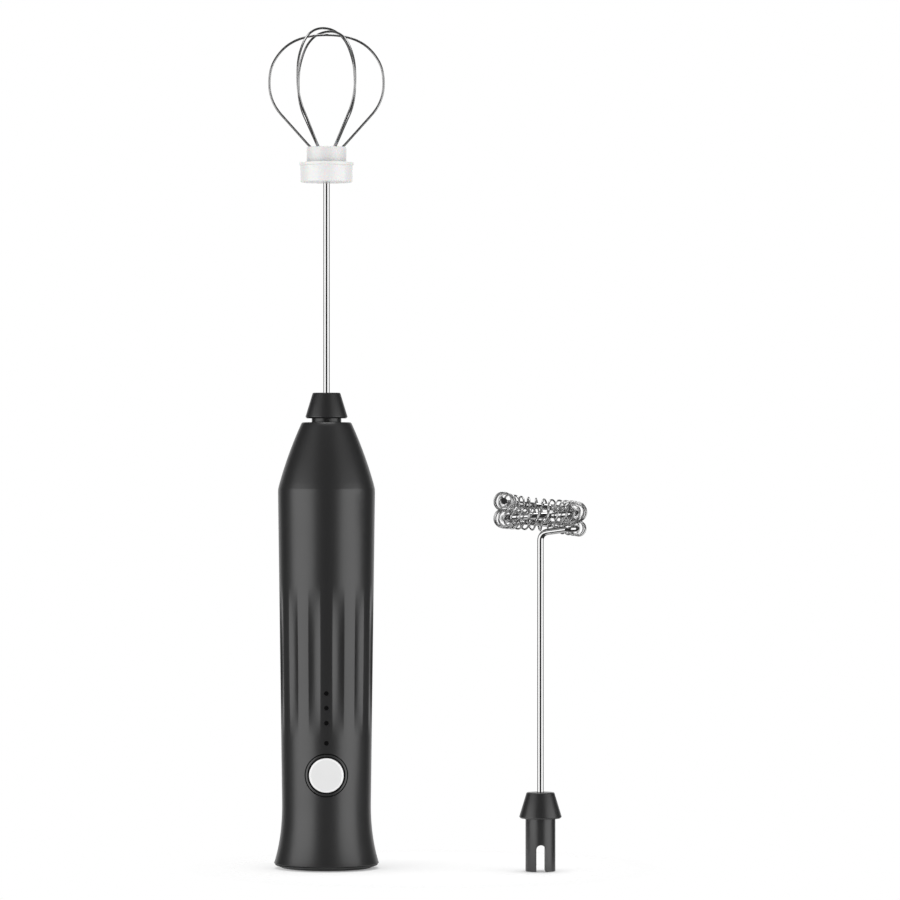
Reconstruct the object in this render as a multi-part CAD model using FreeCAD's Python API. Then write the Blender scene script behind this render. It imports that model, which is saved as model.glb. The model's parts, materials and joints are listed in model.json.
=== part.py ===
import FreeCAD, Part
import math
import os

# Hand-held milk frother with a balloon whisk fitted and a spring frothing head standing beside it.
# Millimetres. +Z is up, the button faces -Y, the handle stands on z = 0 about the Z axis.

V = FreeCAD.Vector
X, Y, Z = V(1, 0, 0), V(0, 1, 0), V(0, 0, 1)

# ---- the handle ----
HANDLE_H = 138.0      # base to nose top
WAIST_R = 13.78       # slimmest radius of the body
WAIST_Z = 20.9
SHOULDER_FLARE = 1.27  # how much wider the body is under the nose cone
BASE_FLARE = 2.49      # and at its foot
NOSE_L = 20.7         # height of the nose cone
NOSE_WALL = 2.64      # round the drive socket
PARTING_Z = 1.3       # lower edge of the shell
WALL = 1.88           # at the waist
FLUTES = 12           # shallow grooves round the grip
FLUTE_DEPTH = 0.42
FLUTE_Z0 = 41.0
FLUTE_Z1 = 88.0
CAP_H = 7.0           # top of the base cap's spigot

# ---- button and lights ----
BUTTON_R = 5.32
BUTTON_Z = 29.4
BUTTON_GAP = 0.48     # button to ring
RING_T = 0.6          # ring's face
FLANGE_OUT = 0.65     # flange that keeps the button behind the ring's lip
FLANGE_T = 0.7
BUTTON_TRAVEL = 0.35
SWITCH_H = 1.6
LIGHT_R = 0.7
LIGHTS = [39.3, 45.5, 50.1, 54.6]
GUIDE_W = 3.2         # bar that joins the four light pipes
GUIDE_T = 0.9
GUIDE_END = 1.6       # bar past the end pipes

# ---- motor, cell and boards ----
MOTOR_R = 10.2
MOTOR_L = 25.0
MOTOR_SHAFT_R = 1.0
BUSH_R = 2.4
SLEEVE_T = 0.65       # rubber round the motor
PAD_T = 2.0           # foam between motor and nose
CELL_R = 7.0
CELL_L = 50.0
CELL_BACK = 1.7       # cell to the shell's bore behind it
BOARD_T = 1.2
BOARD_Z0 = 12.4
CHARGE_Z = 13.6       # underside of the charging board
CHARGE_T = 1.0
PORT_H = 3.26
PORT_L = 7.0
TERMINAL_X = 4.5
TERMINAL_Y = 3.0
LEAD_R = 0.45
LEAD_HOLE = 0.9
CELL_LEAD_X = 1.5
CHARGE_LEAD_X = 2.5

# ---- attachments ----
PLUG_R = 4.6          # split plug under each attachment
PLUG_L = 16.2
PLUG_GAP = 1.2        # plug left showing between nose and cone
SLOT_W = 2.8
SLOT_H = 8.2
CONE_H = 7.95
CONE_R = 6.55
CONE_LIP = 0.45       # bevel under the cone
CONE_TOP_R = 4.27
SHAFT_R = 1.0
SHAFT_FOOT = 11.0     # shaft's lower end above the plug's foot
WHISK_SHAFT_L = 65.25  # shaft showing between cone and hub
HUB_R = 8.1           # collar, under its lip
HUB_LIP = 0.35
HUB_H = 6.12
HOLDER_R = 6.15
HOLDER_H = 4.8
TENON_R = 4.0         # holder's tenon in the collar
TENON_Z = 2.8
SHAFT_IN_HOLDER = 2.7
WHISK_R = 17.7        # balloon loops, wire centre
WHISK_H = 34.72       # lowest loop above the holder
WIRE_R = 0.37
WIRE_RING = 4.75      # where the loops' ends stand in the holder
WIRE_DEPTH = 3.9
LOOP_LIFTS = [0.0, 1.0, 2.05]
SPARE_X = 65.8
SPARE_Y = -14.0
FROTH_SHAFT_L = 81.05  # cone to the start of the ring
ARM_L = 8.2           # from the shaft's axis out to the start of the ring's bend
ARM_RISE = 0.135      # climb of the arm for each unit along it
ARM_DROP = 1.27       # arm's root under the start of the ring
ELBOW = 2.3           # length of the bend on each of its two sides
RING_R = 11.44        # spring head, core wire ring
RING_PITCH = 5.2
RING_LEAN = 0.6       # the ring's left side stands this much higher
RING_ARC = [10, 550]  # degrees that the core wire covers, from +X
COIL_R = 3.05         # outer radius of the wound coil
COIL_WIRE_R = 0.3
COILS_PER_TURN = 29   # a whole number, so the loops of one turn lie between those of the next
COIL_ARC = [-8, 553]
COIL_SQUEEZE = 0.16   # loops at the front and back are this share slimmer
COIL_START_R = 2.4    # outer radius of the first loops
COIL_START_OUT = 0.4  # the first loops hang this much outside the core
COIL_START_LOOPS = 5
COIL_SPANS = 8

# ---- clearances ----
RUN = 0.03            # a shaft in its bush
FRAME_GAP = 0.15      # inner frame in the bore
CAP_GAP = 0.05        # base spigot in its socket
RING_GAP = 0.3        # trim ring in the shell
GUIDE_GAP = 0.05      # light guide in its pocket
BOARD_GAP = 0.58      # main board's long edges in the bore
SOCKET_GAP = 0.4      # plug in the nose
DRIVE_GAP = 0.1       # driver in the plug

# ---- sizes that follow ----
SHOULDER_R = WAIST_R + SHOULDER_FLARE
SHOULDER_Z = HANDLE_H - NOSE_L
BASE_R = WAIST_R + BASE_FLARE
BORE_R = WAIST_R - WALL
LEDGE_Y = -BORE_R + 1.0  # the trim ring and the pressed button stop here
FLANGE_Y = LEDGE_Y - BUTTON_TRAVEL - 0.05  # back of the button's flange
LIP_Y = FLANGE_Y - FLANGE_T - 0.1  # back of the ring's lip
RING_OUT = BUTTON_R + BUTTON_GAP + RING_T
GUIDE_Y = -BORE_R + 0.6
SPIGOT_R = BORE_R + 1.1
FRAME_R = BORE_R - FRAME_GAP
PLUG_Z = HANDLE_H + PLUG_GAP - PLUG_L
WEB_TOP = PLUG_Z - 0.8
WEB_Z = WEB_TOP - 1.4
MOTOR_TOP = WEB_Z - PAD_T
MOTOR_Z = MOTOR_TOP - MOTOR_L
CUP_R = MOTOR_R + SLEEVE_T
CUP_Z = MOTOR_Z - 5.8
NOSE_BORE = PLUG_R + SOCKET_GAP
NOSE_TUBE = NOSE_BORE + 1.8
NOSE_R = NOSE_BORE + NOSE_WALL
PLUG_BORE = PLUG_R - 2.15
CELL_Y = BORE_R - CELL_BACK - CELL_R
CELL_Z1 = MOTOR_Z - 8.3
CELL_Z0 = CELL_Z1 - CELL_L
SPINE_BACK = CELL_Y - CELL_R - 0.7
SPINE_FACE = SPINE_BACK - 1.2
BOARD_BACK = SPINE_FACE - 0.9
BOARD_FACE = BOARD_BACK - BOARD_T
BOARD_HALF = math.sqrt((BORE_R - BOARD_GAP) ** 2 - BOARD_FACE ** 2)
BOARD_Z1 = CELL_Z1 + 1.5
SCREW_X = BOARD_HALF - 1.9
SCREW_ZS = [BOARD_Z0 + 1.6, BOARD_Z1 - 7.0]
CHARGE_TOP = CHARGE_Z + CHARGE_T
LOW_SCREW_X = 6.2
PORT_Z = CHARGE_TOP + PORT_H / 2
HUB_Z = PLUG_Z + PLUG_L + CONE_H + WHISK_SHAFT_L
HOLDER_Z = HUB_Z + HUB_H
HOLDER_TOP = HOLDER_Z + HOLDER_H
RING_Z = PLUG_L + CONE_H + FROTH_SHAFT_L
LEAD_Y = SPINE_BACK + 1.7
LOW_LEAD_Z = CELL_Z0 - 5.0
CHARGE_LEAD_Z = CHARGE_TOP + 5.4


# ---- helpers ----
def cyl(r, z0, z1, x=0.0, y=0.0):
    return Part.makeCylinder(r, z1 - z0, V(x, y, z0), Z)


def tube(r0, r1, z0, z1, x=0.0, y=0.0):
    return cyl(r1, z0, z1, x, y).cut(cyl(r0, z0 - 1, z1 + 1, x, y))


def ycyl(r, y0, y1, x=0.0, z=0.0):
    return Part.makeCylinder(r, y1 - y0, V(x, y0, z), Y)


def box(x0, x1, y0, y1, z0, z1):
    return Part.makeBox(x1 - x0, y1 - y0, z1 - z0, V(x0, y0, z0))


def turned(points):
    """A solid of revolution about Z from (radius, height) corners."""
    loop = [V(r, 0, z) for r, z in points]
    face = Part.Face(Part.makePolygon(loop + [loop[0]]))
    return face.revolve(V(0, 0, 0), Z, 360)


def fuse(shapes):
    return shapes[0].multiFuse(shapes[1:]).removeSplitter()


def group(shapes):
    return Part.makeCompound(shapes)


def unit(v):
    return v * (1.0 / v.Length)


def arc_or_line(start, tangent, end):
    chord = end - start
    side = chord - tangent * chord.dot(tangent)
    if side.Length < 1e-6 * chord.Length:
        return ("line", start, end)
    inward = unit(side)
    radius = chord.dot(chord) / (2 * chord.dot(inward))
    angle = 2 * math.degrees(math.atan2(chord.dot(inward), chord.dot(tangent)))
    return ("arc", start, end, start + inward * radius, tangent.cross(inward), angle)


def two_arcs(p, tp, q, tq):
    """Two tangent arcs that join two points with given directions."""
    v = q - p
    t = tp + tq
    k = 2 * (1 - tp.dot(tq))
    if k < 1e-9:
        side = v - tp * v.dot(tp)
        if side.Length < 1e-6 * v.Length:
            return [("line", p, q)]
        d = v.dot(v) / (4 * v.dot(tq))
    else:
        d = (math.sqrt(v.dot(t) ** 2 + k * v.dot(v)) - v.dot(t)) / k
    middle = (p + q + (tp - tq) * d) * 0.5
    direction = unit((q - tq * d) - (p + tp * d))
    return [arc_or_line(p, tp, middle), arc_or_line(middle, direction, q)]


def rod(stations, r):
    """Round wire of radius r through (point, direction) stations."""
    parts = []
    for (p, tp), (q, tq) in zip(stations, stations[1:]):
        parts += two_arcs(p, tp, q, tq)
    ring = Part.Wire(Part.makeCircle(r, parts[0][1], stations[0][1]))
    faces = [Part.Face(ring)]
    for part in parts:
        if part[0] == "line":
            step = part[2] - part[1]
            faces += ring.extrude(step).Faces
            ring = ring.translated(step)
        else:
            faces += ring.revolve(part[3], part[4], part[5]).Faces
            ring = ring.rotated(part[3], part[4], part[5])
    faces.append(Part.Face(ring))
    shell = Part.makeShell(faces)
    shell.sewShape()
    solid = Part.makeSolid(shell)
    if solid.Volume < 0:
        solid.reverse()
    return solid


def lead(points, r, bend):
    """Insulated lead: straight runs with rounded corners."""
    stations = [(points[0], unit(points[1] - points[0]))]
    for a, b, c in zip(points, points[1:], points[2:]):
        before = unit(b - a)
        after = unit(c - b)
        stations.append((b - before * bend, before))
        stations.append((b + after * bend, after))
    stations.append((points[-1], unit(points[-1] - points[-2])))
    return rod(stations, r)


# ---- handle shell ----
def nose_radius(z):
    """Outer radius of the slightly domed nose cone."""
    u = (z - SHOULDER_Z) / (HANDLE_H - SHOULDER_Z)
    return SHOULDER_R + (NOSE_R - SHOULDER_R) * u + 2.0 * u * (1 - u)


def body_radius(z):
    return WAIST_R + (SHOULDER_R - WAIST_R) * (z - WAIST_Z) / (SHOULDER_Z - WAIST_Z)


def envelope():
    """The handle's outer form, solid."""
    lean = unit(V(SHOULDER_R - WAIST_R, 0, SHOULDER_Z - WAIST_Z))
    waist = V(WAIST_R, 0, WAIST_Z)
    corner = V(BASE_R, 0, PARTING_Z)
    flare = arc_or_line(waist, lean * -1, corner)
    half = (waist - flare[3])
    turn = FreeCAD.Rotation(flare[4], flare[5] / 2)
    mid = flare[3] + turn.multVec(half)
    shoulder = V(SHOULDER_R, 0, SHOULDER_Z)
    zm = 0.5 * (SHOULDER_Z + HANDLE_H)
    nose = V(nose_radius(zm), 0, zm)
    top = V(NOSE_R, 0, HANDLE_H)
    foot = V(0, 0, PARTING_Z)
    peak = V(0, 0, HANDLE_H)
    edges = [Part.makeLine(foot, corner),
             Part.Arc(corner, mid, waist).toShape(),
             Part.makeLine(waist, shoulder),
             Part.Arc(shoulder, nose, top).toShape(),
             Part.makeLine(top, peak),
             Part.makeLine(peak, foot)]
    solid = Part.Face(Part.Wire(edges)).revolve(V(0, 0, 0), Z, 360)
    soft = []
    for e in solid.Edges:
        c = e.Curve
        if c.TypeId == "Part::GeomCircle":
            if abs(c.Center.z - SHOULDER_Z) < 0.01 or abs(c.Center.z - HANDLE_H) < 0.01:
                soft.append(e)
    return solid.makeFillet(0.35, soft)


def flute(angle):
    """Cutter for one shallow groove, fading out at both ends."""
    z0, z1 = FLUTE_Z0, FLUTE_Z1
    half = 180.0 / FLUTES / 2
    over = 0.4
    a = math.radians(half + over)
    wires = []
    for i in range(7):
        u = i / 6.0
        z = z0 + (z1 - z0) * u
        r = body_radius(z)
        depth = 0.05 + (FLUTE_DEPTH - 0.05) * 4 * u * (1 - u)
        # the groove's arc runs a little past the surface on both sides
        rise = r + depth * 2 * over / half
        right = V(rise * math.cos(a), -rise * math.sin(a), z)
        left = V(rise * math.cos(a), rise * math.sin(a), z)
        far_r = V(r + 2, right.y, z)
        far_l = V(r + 2, left.y, z)
        wires.append(Part.Wire([Part.Arc(right, V(r - depth, 0, z), left).toShape(),
                                Part.makeLine(left, far_l),
                                Part.makeLine(far_l, far_r),
                                Part.makeLine(far_r, right)]))
    cutter = Part.makeLoft(wires, True, False)
    cutter.rotate(V(0, 0, 0), Z, angle)
    return cutter


def handle_shell():
    body = envelope()
    step = 360.0 / FLUTES
    body = body.cut([flute(-90 + step * (k + 0.5)) for k in range(FLUTES)])
    floor = PARTING_Z - 0.2
    rim = turned([(SPIGOT_R - 0.5, floor), (BASE_R - 1.27, floor),
                  (BASE_R - 1.27, PARTING_Z + 0.5), (SPIGOT_R - 0.5, PARTING_Z + 0.5)])
    body = body.fuse(rim)
    # bore, base socket with its snap groove, motor bay and cored-out nose
    bore = turned([(0, -1), (SPIGOT_R, -1), (SPIGOT_R, 5.6), (SPIGOT_R + 0.3, 5.8),
                   (SPIGOT_R + 0.3, 6.4), (SPIGOT_R, 6.6), (SPIGOT_R, CAP_H + 0.4),
                   (BORE_R, CAP_H + 1.6), (BORE_R, WEB_Z), (0, WEB_Z)])
    top = WEB_Z + 12.0
    pocket = turned([(NOSE_TUBE, WEB_Z - 0.5), (BORE_R, WEB_Z - 0.5), (BORE_R, WEB_Z),
                     (nose_radius(top) - 1.9, top), (NOSE_TUBE, top)])
    socket = cyl(NOSE_BORE, WEB_TOP, HANDLE_H + 1)
    seal = cyl(BUSH_R, WEB_TOP - 1.0, WEB_TOP + 0.1)
    passage = cyl(MOTOR_SHAFT_R + 0.5, WEB_Z - 1, WEB_TOP)
    body = body.cut([bore, pocket, socket, seal, passage])
    # boss behind the button
    outer = ycyl(BUTTON_R + 2.8, -BASE_R, -BORE_R + 2.0, 0, BUTTON_Z)
    boss = outer.common(cyl(BORE_R + 0.8, BUTTON_Z - 12, BUTTON_Z + 12))
    body = body.fuse(boss)
    body = body.cut([ycyl(RING_OUT + RING_GAP, -BASE_R - 5, LEDGE_Y, 0, BUTTON_Z),
                     ycyl(BUTTON_R + 0.55, -BORE_R - 0.1, -BORE_R + 2.9, 0, BUTTON_Z)])
    holes = [ycyl(LIGHT_R, -BASE_R - 5, -BORE_R + 1.9, 0, z) for z in LIGHTS]
    # the guide's bar has its own way through the boss behind the button
    holes.append(guide_bar(GUIDE_GAP, -BORE_R + 2.1))
    # charging port at the back
    half = PORT_H / 2 + 0.27
    slot = box(-3.0, 3.0, BORE_R - 3.9, BASE_R + 5, PORT_Z - half, PORT_Z + half)
    ends = [ycyl(half, BORE_R - 3.9, BASE_R + 5, x, PORT_Z) for x in (-3.0, 3.0)]
    slot = slot.fuse(ends)
    return body.cut(holes + [slot]).removeSplitter()


def base_cap():
    lip = PARTING_Z - 0.2
    groove = SPIGOT_R - 0.85
    inner = SPIGOT_R - 1.7
    r = SPIGOT_R - CAP_GAP
    return turned([(0, 0), (BASE_R - 2.7, 0), (BASE_R - 0.4, 0.9), (BASE_R - 0.37, lip), (r, lip),
                   (r, 3.3), (groove, 3.3), (groove, 4.7), (r, 4.7), (r, 5.7),
                   (SPIGOT_R + 0.22, 5.95), (SPIGOT_R + 0.22, 6.2), (r, 6.4), (r, CAP_H),
                   (inner, CAP_H), (inner, 2.2), (0, 2.2)])


def base_seal():
    groove = SPIGOT_R - 0.85
    return turned([(groove, 3.45), (SPIGOT_R - 0.25, 3.45), (SPIGOT_R, 3.7),
                   (SPIGOT_R, 4.3), (SPIGOT_R - 0.25, 4.55), (groove, 4.55)])


def button_ring():
    front = -body_radius(BUTTON_Z) + 0.05
    ring = ycyl(RING_OUT, front - 0.2, LEDGE_Y, 0, BUTTON_Z)
    ring = ring.common(cyl(body_radius(BUTTON_Z) + 0.05, BUTTON_Z - 12, BUTTON_Z + 12))
    # the ring keeps at least a thin lip where the body curves away
    ring = ring.fuse(ycyl(RING_OUT, LIP_Y - 0.2, LEDGE_Y, 0, BUTTON_Z))
    ring = ring.cut([ycyl(BUTTON_R + BUTTON_GAP, -BASE_R - 5, LEDGE_Y + 1, 0, BUTTON_Z),
                     ycyl(BUTTON_R + FLANGE_OUT + 0.15, LIP_Y, LEDGE_Y + 1, 0, BUTTON_Z)])
    return ring.removeSplitter()


def button():
    front = -body_radius(BUTTON_Z) - 0.12
    cap = ycyl(BUTTON_R, front, FLANGE_Y, 0, BUTTON_Z)
    round_edges = [e for e in cap.Edges if e.Curve.TypeId == "Part::GeomCircle"]
    edge = [e for e in round_edges if abs(e.Curve.Center.y - front) < 0.01]
    cap = cap.makeChamfer(0.3, edge)
    flange = ycyl(BUTTON_R + FLANGE_OUT, FLANGE_Y - FLANGE_T, FLANGE_Y, 0, BUTTON_Z)
    stem = ycyl(1.5, FLANGE_Y - 0.2, BOARD_FACE - SWITCH_H - 0.8, 0, BUTTON_Z)
    return fuse([cap, flange, stem])


def guide_bar(gap, rear):
    """The flat bar behind the lights, grown by a gap on its front and edges."""
    half = GUIDE_W / 2 + gap
    end = GUIDE_END + gap
    return box(-half, half, GUIDE_Y - gap, rear, LIGHTS[0] - end, LIGHTS[-1] + end)


def light_guide():
    bar = guide_bar(0, GUIDE_Y + GUIDE_T)
    pins = [ycyl(LIGHT_R, -BASE_R - 3, BOARD_FACE - 0.75, 0, z) for z in LIGHTS]
    return fuse([bar] + pins).common(envelope()).removeSplitter()


# ---- inner frame and electronics ----
def inner_frame():
    """Cradle for the cell, the boards and the motor; it slides up the bore from below."""
    inside = cyl(FRAME_R, CAP_H, MOTOR_TOP - 2.3)
    head = CELL_Z1 + 1.0
    front = box(-20, 20, -BASE_R - 5, SPINE_FACE - 0.7, 0, HANDLE_H)
    shelf_front = box(-20, 20, -BASE_R - 5, SPINE_FACE, 0, HANDLE_H)
    keep = [tube(CUP_R, FRAME_R, CUP_Z, MOTOR_TOP - 2.3),
            tube(MOTOR_R - 1.2, FRAME_R, MOTOR_Z - 1.5, MOTOR_Z),
            box(-BOARD_HALF - 0.8, BOARD_HALF + 0.8, SPINE_FACE, SPINE_BACK, CAP_H + 2, CUP_Z),
            cyl(FRAME_R, head, CUP_Z).cut(front),
            cyl(FRAME_R, CELL_Z0 - 3.0, CELL_Z0 - 1.5).cut(front),
            tube(FRAME_R - 1.55, FRAME_R, CAP_H, CHARGE_Z - 1.4),
            cyl(FRAME_R, CHARGE_Z - 1.4, CHARGE_Z).cut(shelf_front)]
    trough = tube(CELL_R + 0.25, CELL_R + 1.7, CELL_Z0 - 1.5, head, 0, CELL_Y)
    keep.append(trough.cut(box(-20, 20, CELL_Y + 3, 30, 0, HANDLE_H)))
    screws = [(sx * SCREW_X, z) for sx in (-1, 1) for z in SCREW_ZS]
    keep += [ycyl(1.7, BOARD_BACK, SPINE_FACE + 0.1, x, z) for x, z in screws]
    frame = fuse(keep).common(inside)
    cuts = [ycyl(0.75, BOARD_BACK - 1, BOARD_FACE + 2.9, x, z) for x, z in screws]
    cuts += [cyl(0.75, CHARGE_Z - 2.6, CHARGE_Z + 1.4, sx * LOW_SCREW_X, 0) for sx in (-1, 1)]
    # holes for the leads
    cuts.append(cyl(LEAD_HOLE, head - 1, CUP_Z + 1, CELL_LEAD_X, LEAD_Y))
    cuts.append(cyl(LEAD_HOLE, LOW_LEAD_Z - 0.5, CELL_Z0 - 0.5, -CELL_LEAD_X, LEAD_Y))
    through = [(-CELL_LEAD_X, LOW_LEAD_Z), (CHARGE_LEAD_X, CHARGE_LEAD_Z), (-CHARGE_LEAD_X, CHARGE_LEAD_Z)]
    cuts += [ycyl(LEAD_HOLE, SPINE_FACE - 1.3, SPINE_BACK + 0.5, x, z) for x, z in through]
    # the front stays open for the board and its leads
    cuts.append(box(-20, 20, -BASE_R - 5, BOARD_FACE - 0.2, CAP_H - 1, BOARD_Z0 - 0.1))
    cuts.append(box(-20, 20, -BASE_R - 5, BOARD_FACE + 0.2, CUP_Z - 0.1, MOTOR_Z - 1.6))
    return frame.cut(cuts).removeSplitter()


def main_board():
    board = box(-BOARD_HALF, BOARD_HALF, BOARD_FACE, BOARD_BACK, BOARD_Z0, BOARD_Z1)
    screws = [(sx * SCREW_X, z) for sx in (-1, 1) for z in SCREW_ZS]
    return board.cut([ycyl(0.95, BOARD_FACE - 1, BOARD_BACK + 1, x, z) for x, z in screws])


def screw(head, down):
    """Small pan-head screw, head point and the direction it is driven."""
    pan = Part.makeCylinder(1.6, 0.8, head - down * 0.8, down)
    shank = Part.makeCylinder(0.75, 2.7, head, down)
    slot = Part.makeBox(2.4, 0.4, 0.4, V(-1.2, -0.2, 0))
    slot.Placement = FreeCAD.Placement(head - down * 0.8, FreeCAD.Rotation(Z, down))
    return pan.fuse(shank).cut(slot)


def board_screws():
    front = [screw(V(sx * SCREW_X, BOARD_FACE, z), Y) for sx in (-1, 1) for z in SCREW_ZS]
    low = [screw(V(sx * LOW_SCREW_X, 0, CHARGE_TOP), V(0, 0, -1)) for sx in (-1, 1)]
    return group(front + low)


def switch_body():
    body = box(-2.6, 2.6, BOARD_FACE - SWITCH_H, BOARD_FACE, BUTTON_Z - 2.6, BUTTON_Z + 2.6)
    return body.cut(ycyl(1.2, -20, BOARD_FACE - 0.4, 0, BUTTON_Z))


def switch_plunger():
    return ycyl(1.1, BOARD_FACE - SWITCH_H - 0.75, BOARD_FACE - 1.0, 0, BUTTON_Z)


def status_leds():
    return group([box(-0.8, 0.8, BOARD_FACE - 0.65, BOARD_FACE, z - 0.5, z + 0.5) for z in LIGHTS])


def chip(x0, x1, below, above, h):
    """A flat part on the main board, placed down from the board's top edge."""
    return box(x0, x1, BOARD_FACE - h, BOARD_FACE, BOARD_Z1 - below, BOARD_Z1 - above)


def charge_board():
    plate = cyl(FRAME_R - 1.15, CHARGE_Z, CHARGE_TOP)
    plate = plate.common(box(-BOARD_HALF + 0.2, BOARD_HALF - 0.2, SPINE_BACK + 0.3, 20, 0, 60))
    return plate.cut([cyl(0.95, CHARGE_Z - 1, CHARGE_TOP + 1, sx * LOW_SCREW_X, 0) for sx in (-1, 1)])


def stadium(w, h, y0, y1):
    """Flat bar with round ends, along Y at the port's height."""
    r = h / 2
    flat = box(-w / 2 + r, w / 2 - r, y0, y1, PORT_Z - r, PORT_Z + r)
    return flat.fuse([ycyl(r, y0, y1, sx * (w / 2 - r), PORT_Z) for sx in (-1, 1)]).removeSplitter()


def usb_receptacle():
    y1 = BORE_R - 0.9
    y0 = y1 - PORT_L
    body = stadium(8.94, PORT_H, y0, y1).cut(stadium(8.3, PORT_H - 0.66, y0 + 1.2, y1 + 1))
    tongue = box(-3.3, 3.3, y0 + 1.0, y1 - 0.6, PORT_Z - 0.35, PORT_Z + 0.35)
    return fuse([body, tongue])


# ---- battery ----
def battery_cell():
    can = cyl(CELL_R, CELL_Z0, CELL_Z1 - 0.8, 0, CELL_Y)
    return can.fuse(cyl(2.8, CELL_Z1 - 0.8, CELL_Z1, 0, CELL_Y)).removeSplitter()


def battery_sleeve():
    outer = CELL_R + 0.15
    side = tube(CELL_R, outer, CELL_Z0, CELL_Z1 - 0.6, 0, CELL_Y)
    shrunk = tube(CELL_R * 0.8, outer, CELL_Z1 - 0.8, CELL_Z1 - 0.6, 0, CELL_Y)
    return side.fuse(shrunk).removeSplitter()


def battery_tabs():
    y0 = LEAD_Y - 0.8
    plus = cyl(2.4, CELL_Z1, CELL_Z1 + 0.2, 0, CELL_Y)
    plus = plus.fuse(box(-2.3, 2.3, y0, CELL_Y, CELL_Z1, CELL_Z1 + 0.2))
    minus = cyl(2.4, CELL_Z0 - 0.2, CELL_Z0, 0, CELL_Y)
    minus = minus.fuse(box(-2.3, 2.3, y0, CELL_Y, CELL_Z0 - 0.2, CELL_Z0))
    return group([plus.removeSplitter(), minus.removeSplitter()])


def battery_pads():
    r = CELL_R - 2.4
    high = cyl(r, CELL_Z1 + 0.2, CELL_Z1 + 1.0, 0, CELL_Y)
    low = cyl(r, CELL_Z0 - 1.5, CELL_Z0 - 0.2, 0, CELL_Y)
    return group([high, low])


# ---- motor ----
def motor_can():
    inner = MOTOR_R - 0.8
    top = MOTOR_TOP
    hole = MOTOR_SHAFT_R + 0.3
    return turned([(inner, MOTOR_Z), (MOTOR_R, MOTOR_Z), (MOTOR_R, top - 0.6), (MOTOR_R - 0.6, top),
                   (3.0, top), (3.0, top + 1.4), (hole, top + 1.4), (hole, top + 1.2),
                   (BUSH_R, top + 1.2), (BUSH_R, top - 0.8), (inner, top - 0.8)])


def terminal(side, z0, z1):
    x = side * TERMINAL_X
    return box(x - 0.9, x + 0.9, TERMINAL_Y - 0.2, TERMINAL_Y + 0.2, z0, z1)


def end_bell():
    r = MOTOR_R - 0.8
    z = MOTOR_Z
    bell = turned([(0, z), (r, z), (r, z + 1.8), (3.6, z + 1.8), (3.6, z + 3.2), (BUSH_R, z + 3.2),
                   (BUSH_R, z + 0.8), (0, z + 0.8)])
    slots = [terminal(sx, z - 1, z + 3) for sx in (-1, 1)]
    return bell.cut(slots)


def bush(z0, z1):
    return tube(MOTOR_SHAFT_R + RUN, BUSH_R, z0, z1)


def motor_magnets():
    r1 = MOTOR_R - 0.85
    ring = tube(r1 - 1.7, r1, MOTOR_Z + 6.2, MOTOR_TOP - 3.8)
    out = []
    for side in (0, 180):
        left = box(-30, 30, 0, 30, 0, 300)
        left.rotate(V(0, 0, 0), Z, side + 65)
        right = box(-30, 30, -30, 0, 0, 300)
        right.rotate(V(0, 0, 0), Z, side - 65)
        out.append(ring.cut([left, right]))
    return group(out)


def motor_brushes():
    z = MOTOR_Z + 1.8
    block = box(2.66, 5.0, -0.8, 0.8, z + 2.4, z + 4.0)
    one = block.fuse(box(5.0, 5.4, -1.2, 1.2, z, z + 4.0)).removeSplitter()
    two = one.copy()
    two.rotate(V(0, 0, 0), Z, 180)
    return group([one, two])


def motor_terminals():
    return group([terminal(sx, MOTOR_Z - 3.0, MOTOR_Z + 1.8) for sx in (-1, 1)])


def motor_sleeve():
    return tube(MOTOR_R, CUP_R, MOTOR_Z, MOTOR_TOP - 2.3)


def motor_pad():
    return tube(3.2, NOSE_TUBE - 0.2, MOTOR_TOP, WEB_Z)


def shaft_seal():
    return tube(MOTOR_SHAFT_R + RUN, BUSH_R, WEB_TOP - 1.0, WEB_TOP)


# ---- rotor ----
def motor_shaft():
    return cyl(MOTOR_SHAFT_R, MOTOR_Z + 1.0, PLUG_Z + 5.0)


def armature_core():
    """Three-pole laminated core; it clears the magnets by 0.35 mm."""
    r = MOTOR_R - 2.9
    z0, z1 = MOTOR_Z + 7.7, MOTOR_TOP - 5.3
    keep = [cyl(2.6, z0, z1)]
    shoe = tube(r - 1.1, r, z0, z1)
    for k in range(3):
        stem = box(0, r - 0.7, -1.2, 1.2, z0, z1)
        stem.rotate(V(0, 0, 0), Z, 120 * k)
        lower = box(-30, 30, -60, 0, 0, HANDLE_H * 2)
        upper = box(-30, 30, 0, 60, 0, HANDLE_H * 2)
        lower.rotate(V(0, 0, 0), Z, 120 * k - 47)
        upper.rotate(V(0, 0, 0), Z, 120 * k + 47)
        keep += [stem, shoe.cut([lower, upper])]
    return fuse(keep).cut(cyl(MOTOR_SHAFT_R, z0 - 1, z1 + 1))


def armature_windings():
    z0, z1 = MOTOR_Z + 7.7, MOTOR_TOP - 5.3
    out = []
    for k in range(3):
        coil = box(2.95, MOTOR_R - 4.6, -2.5, 2.5, z0 - 1.3, z1 + 1.3)
        along_x = [e for e in coil.Edges if abs(e.Vertexes[0].Y - e.Vertexes[1].Y) < 1e-6
                   and abs(e.Vertexes[0].Z - e.Vertexes[1].Z) < 1e-6]
        coil = coil.makeFillet(0.6, along_x).cut(box(0, MOTOR_R, -1.2, 1.2, z0, z1))
        coil.rotate(V(0, 0, 0), Z, 120 * k)
        out.append(coil)
    return group(out)


def commutator():
    return tube(MOTOR_SHAFT_R, 2.6, MOTOR_Z + 3.8, MOTOR_Z + 6.0)


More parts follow.
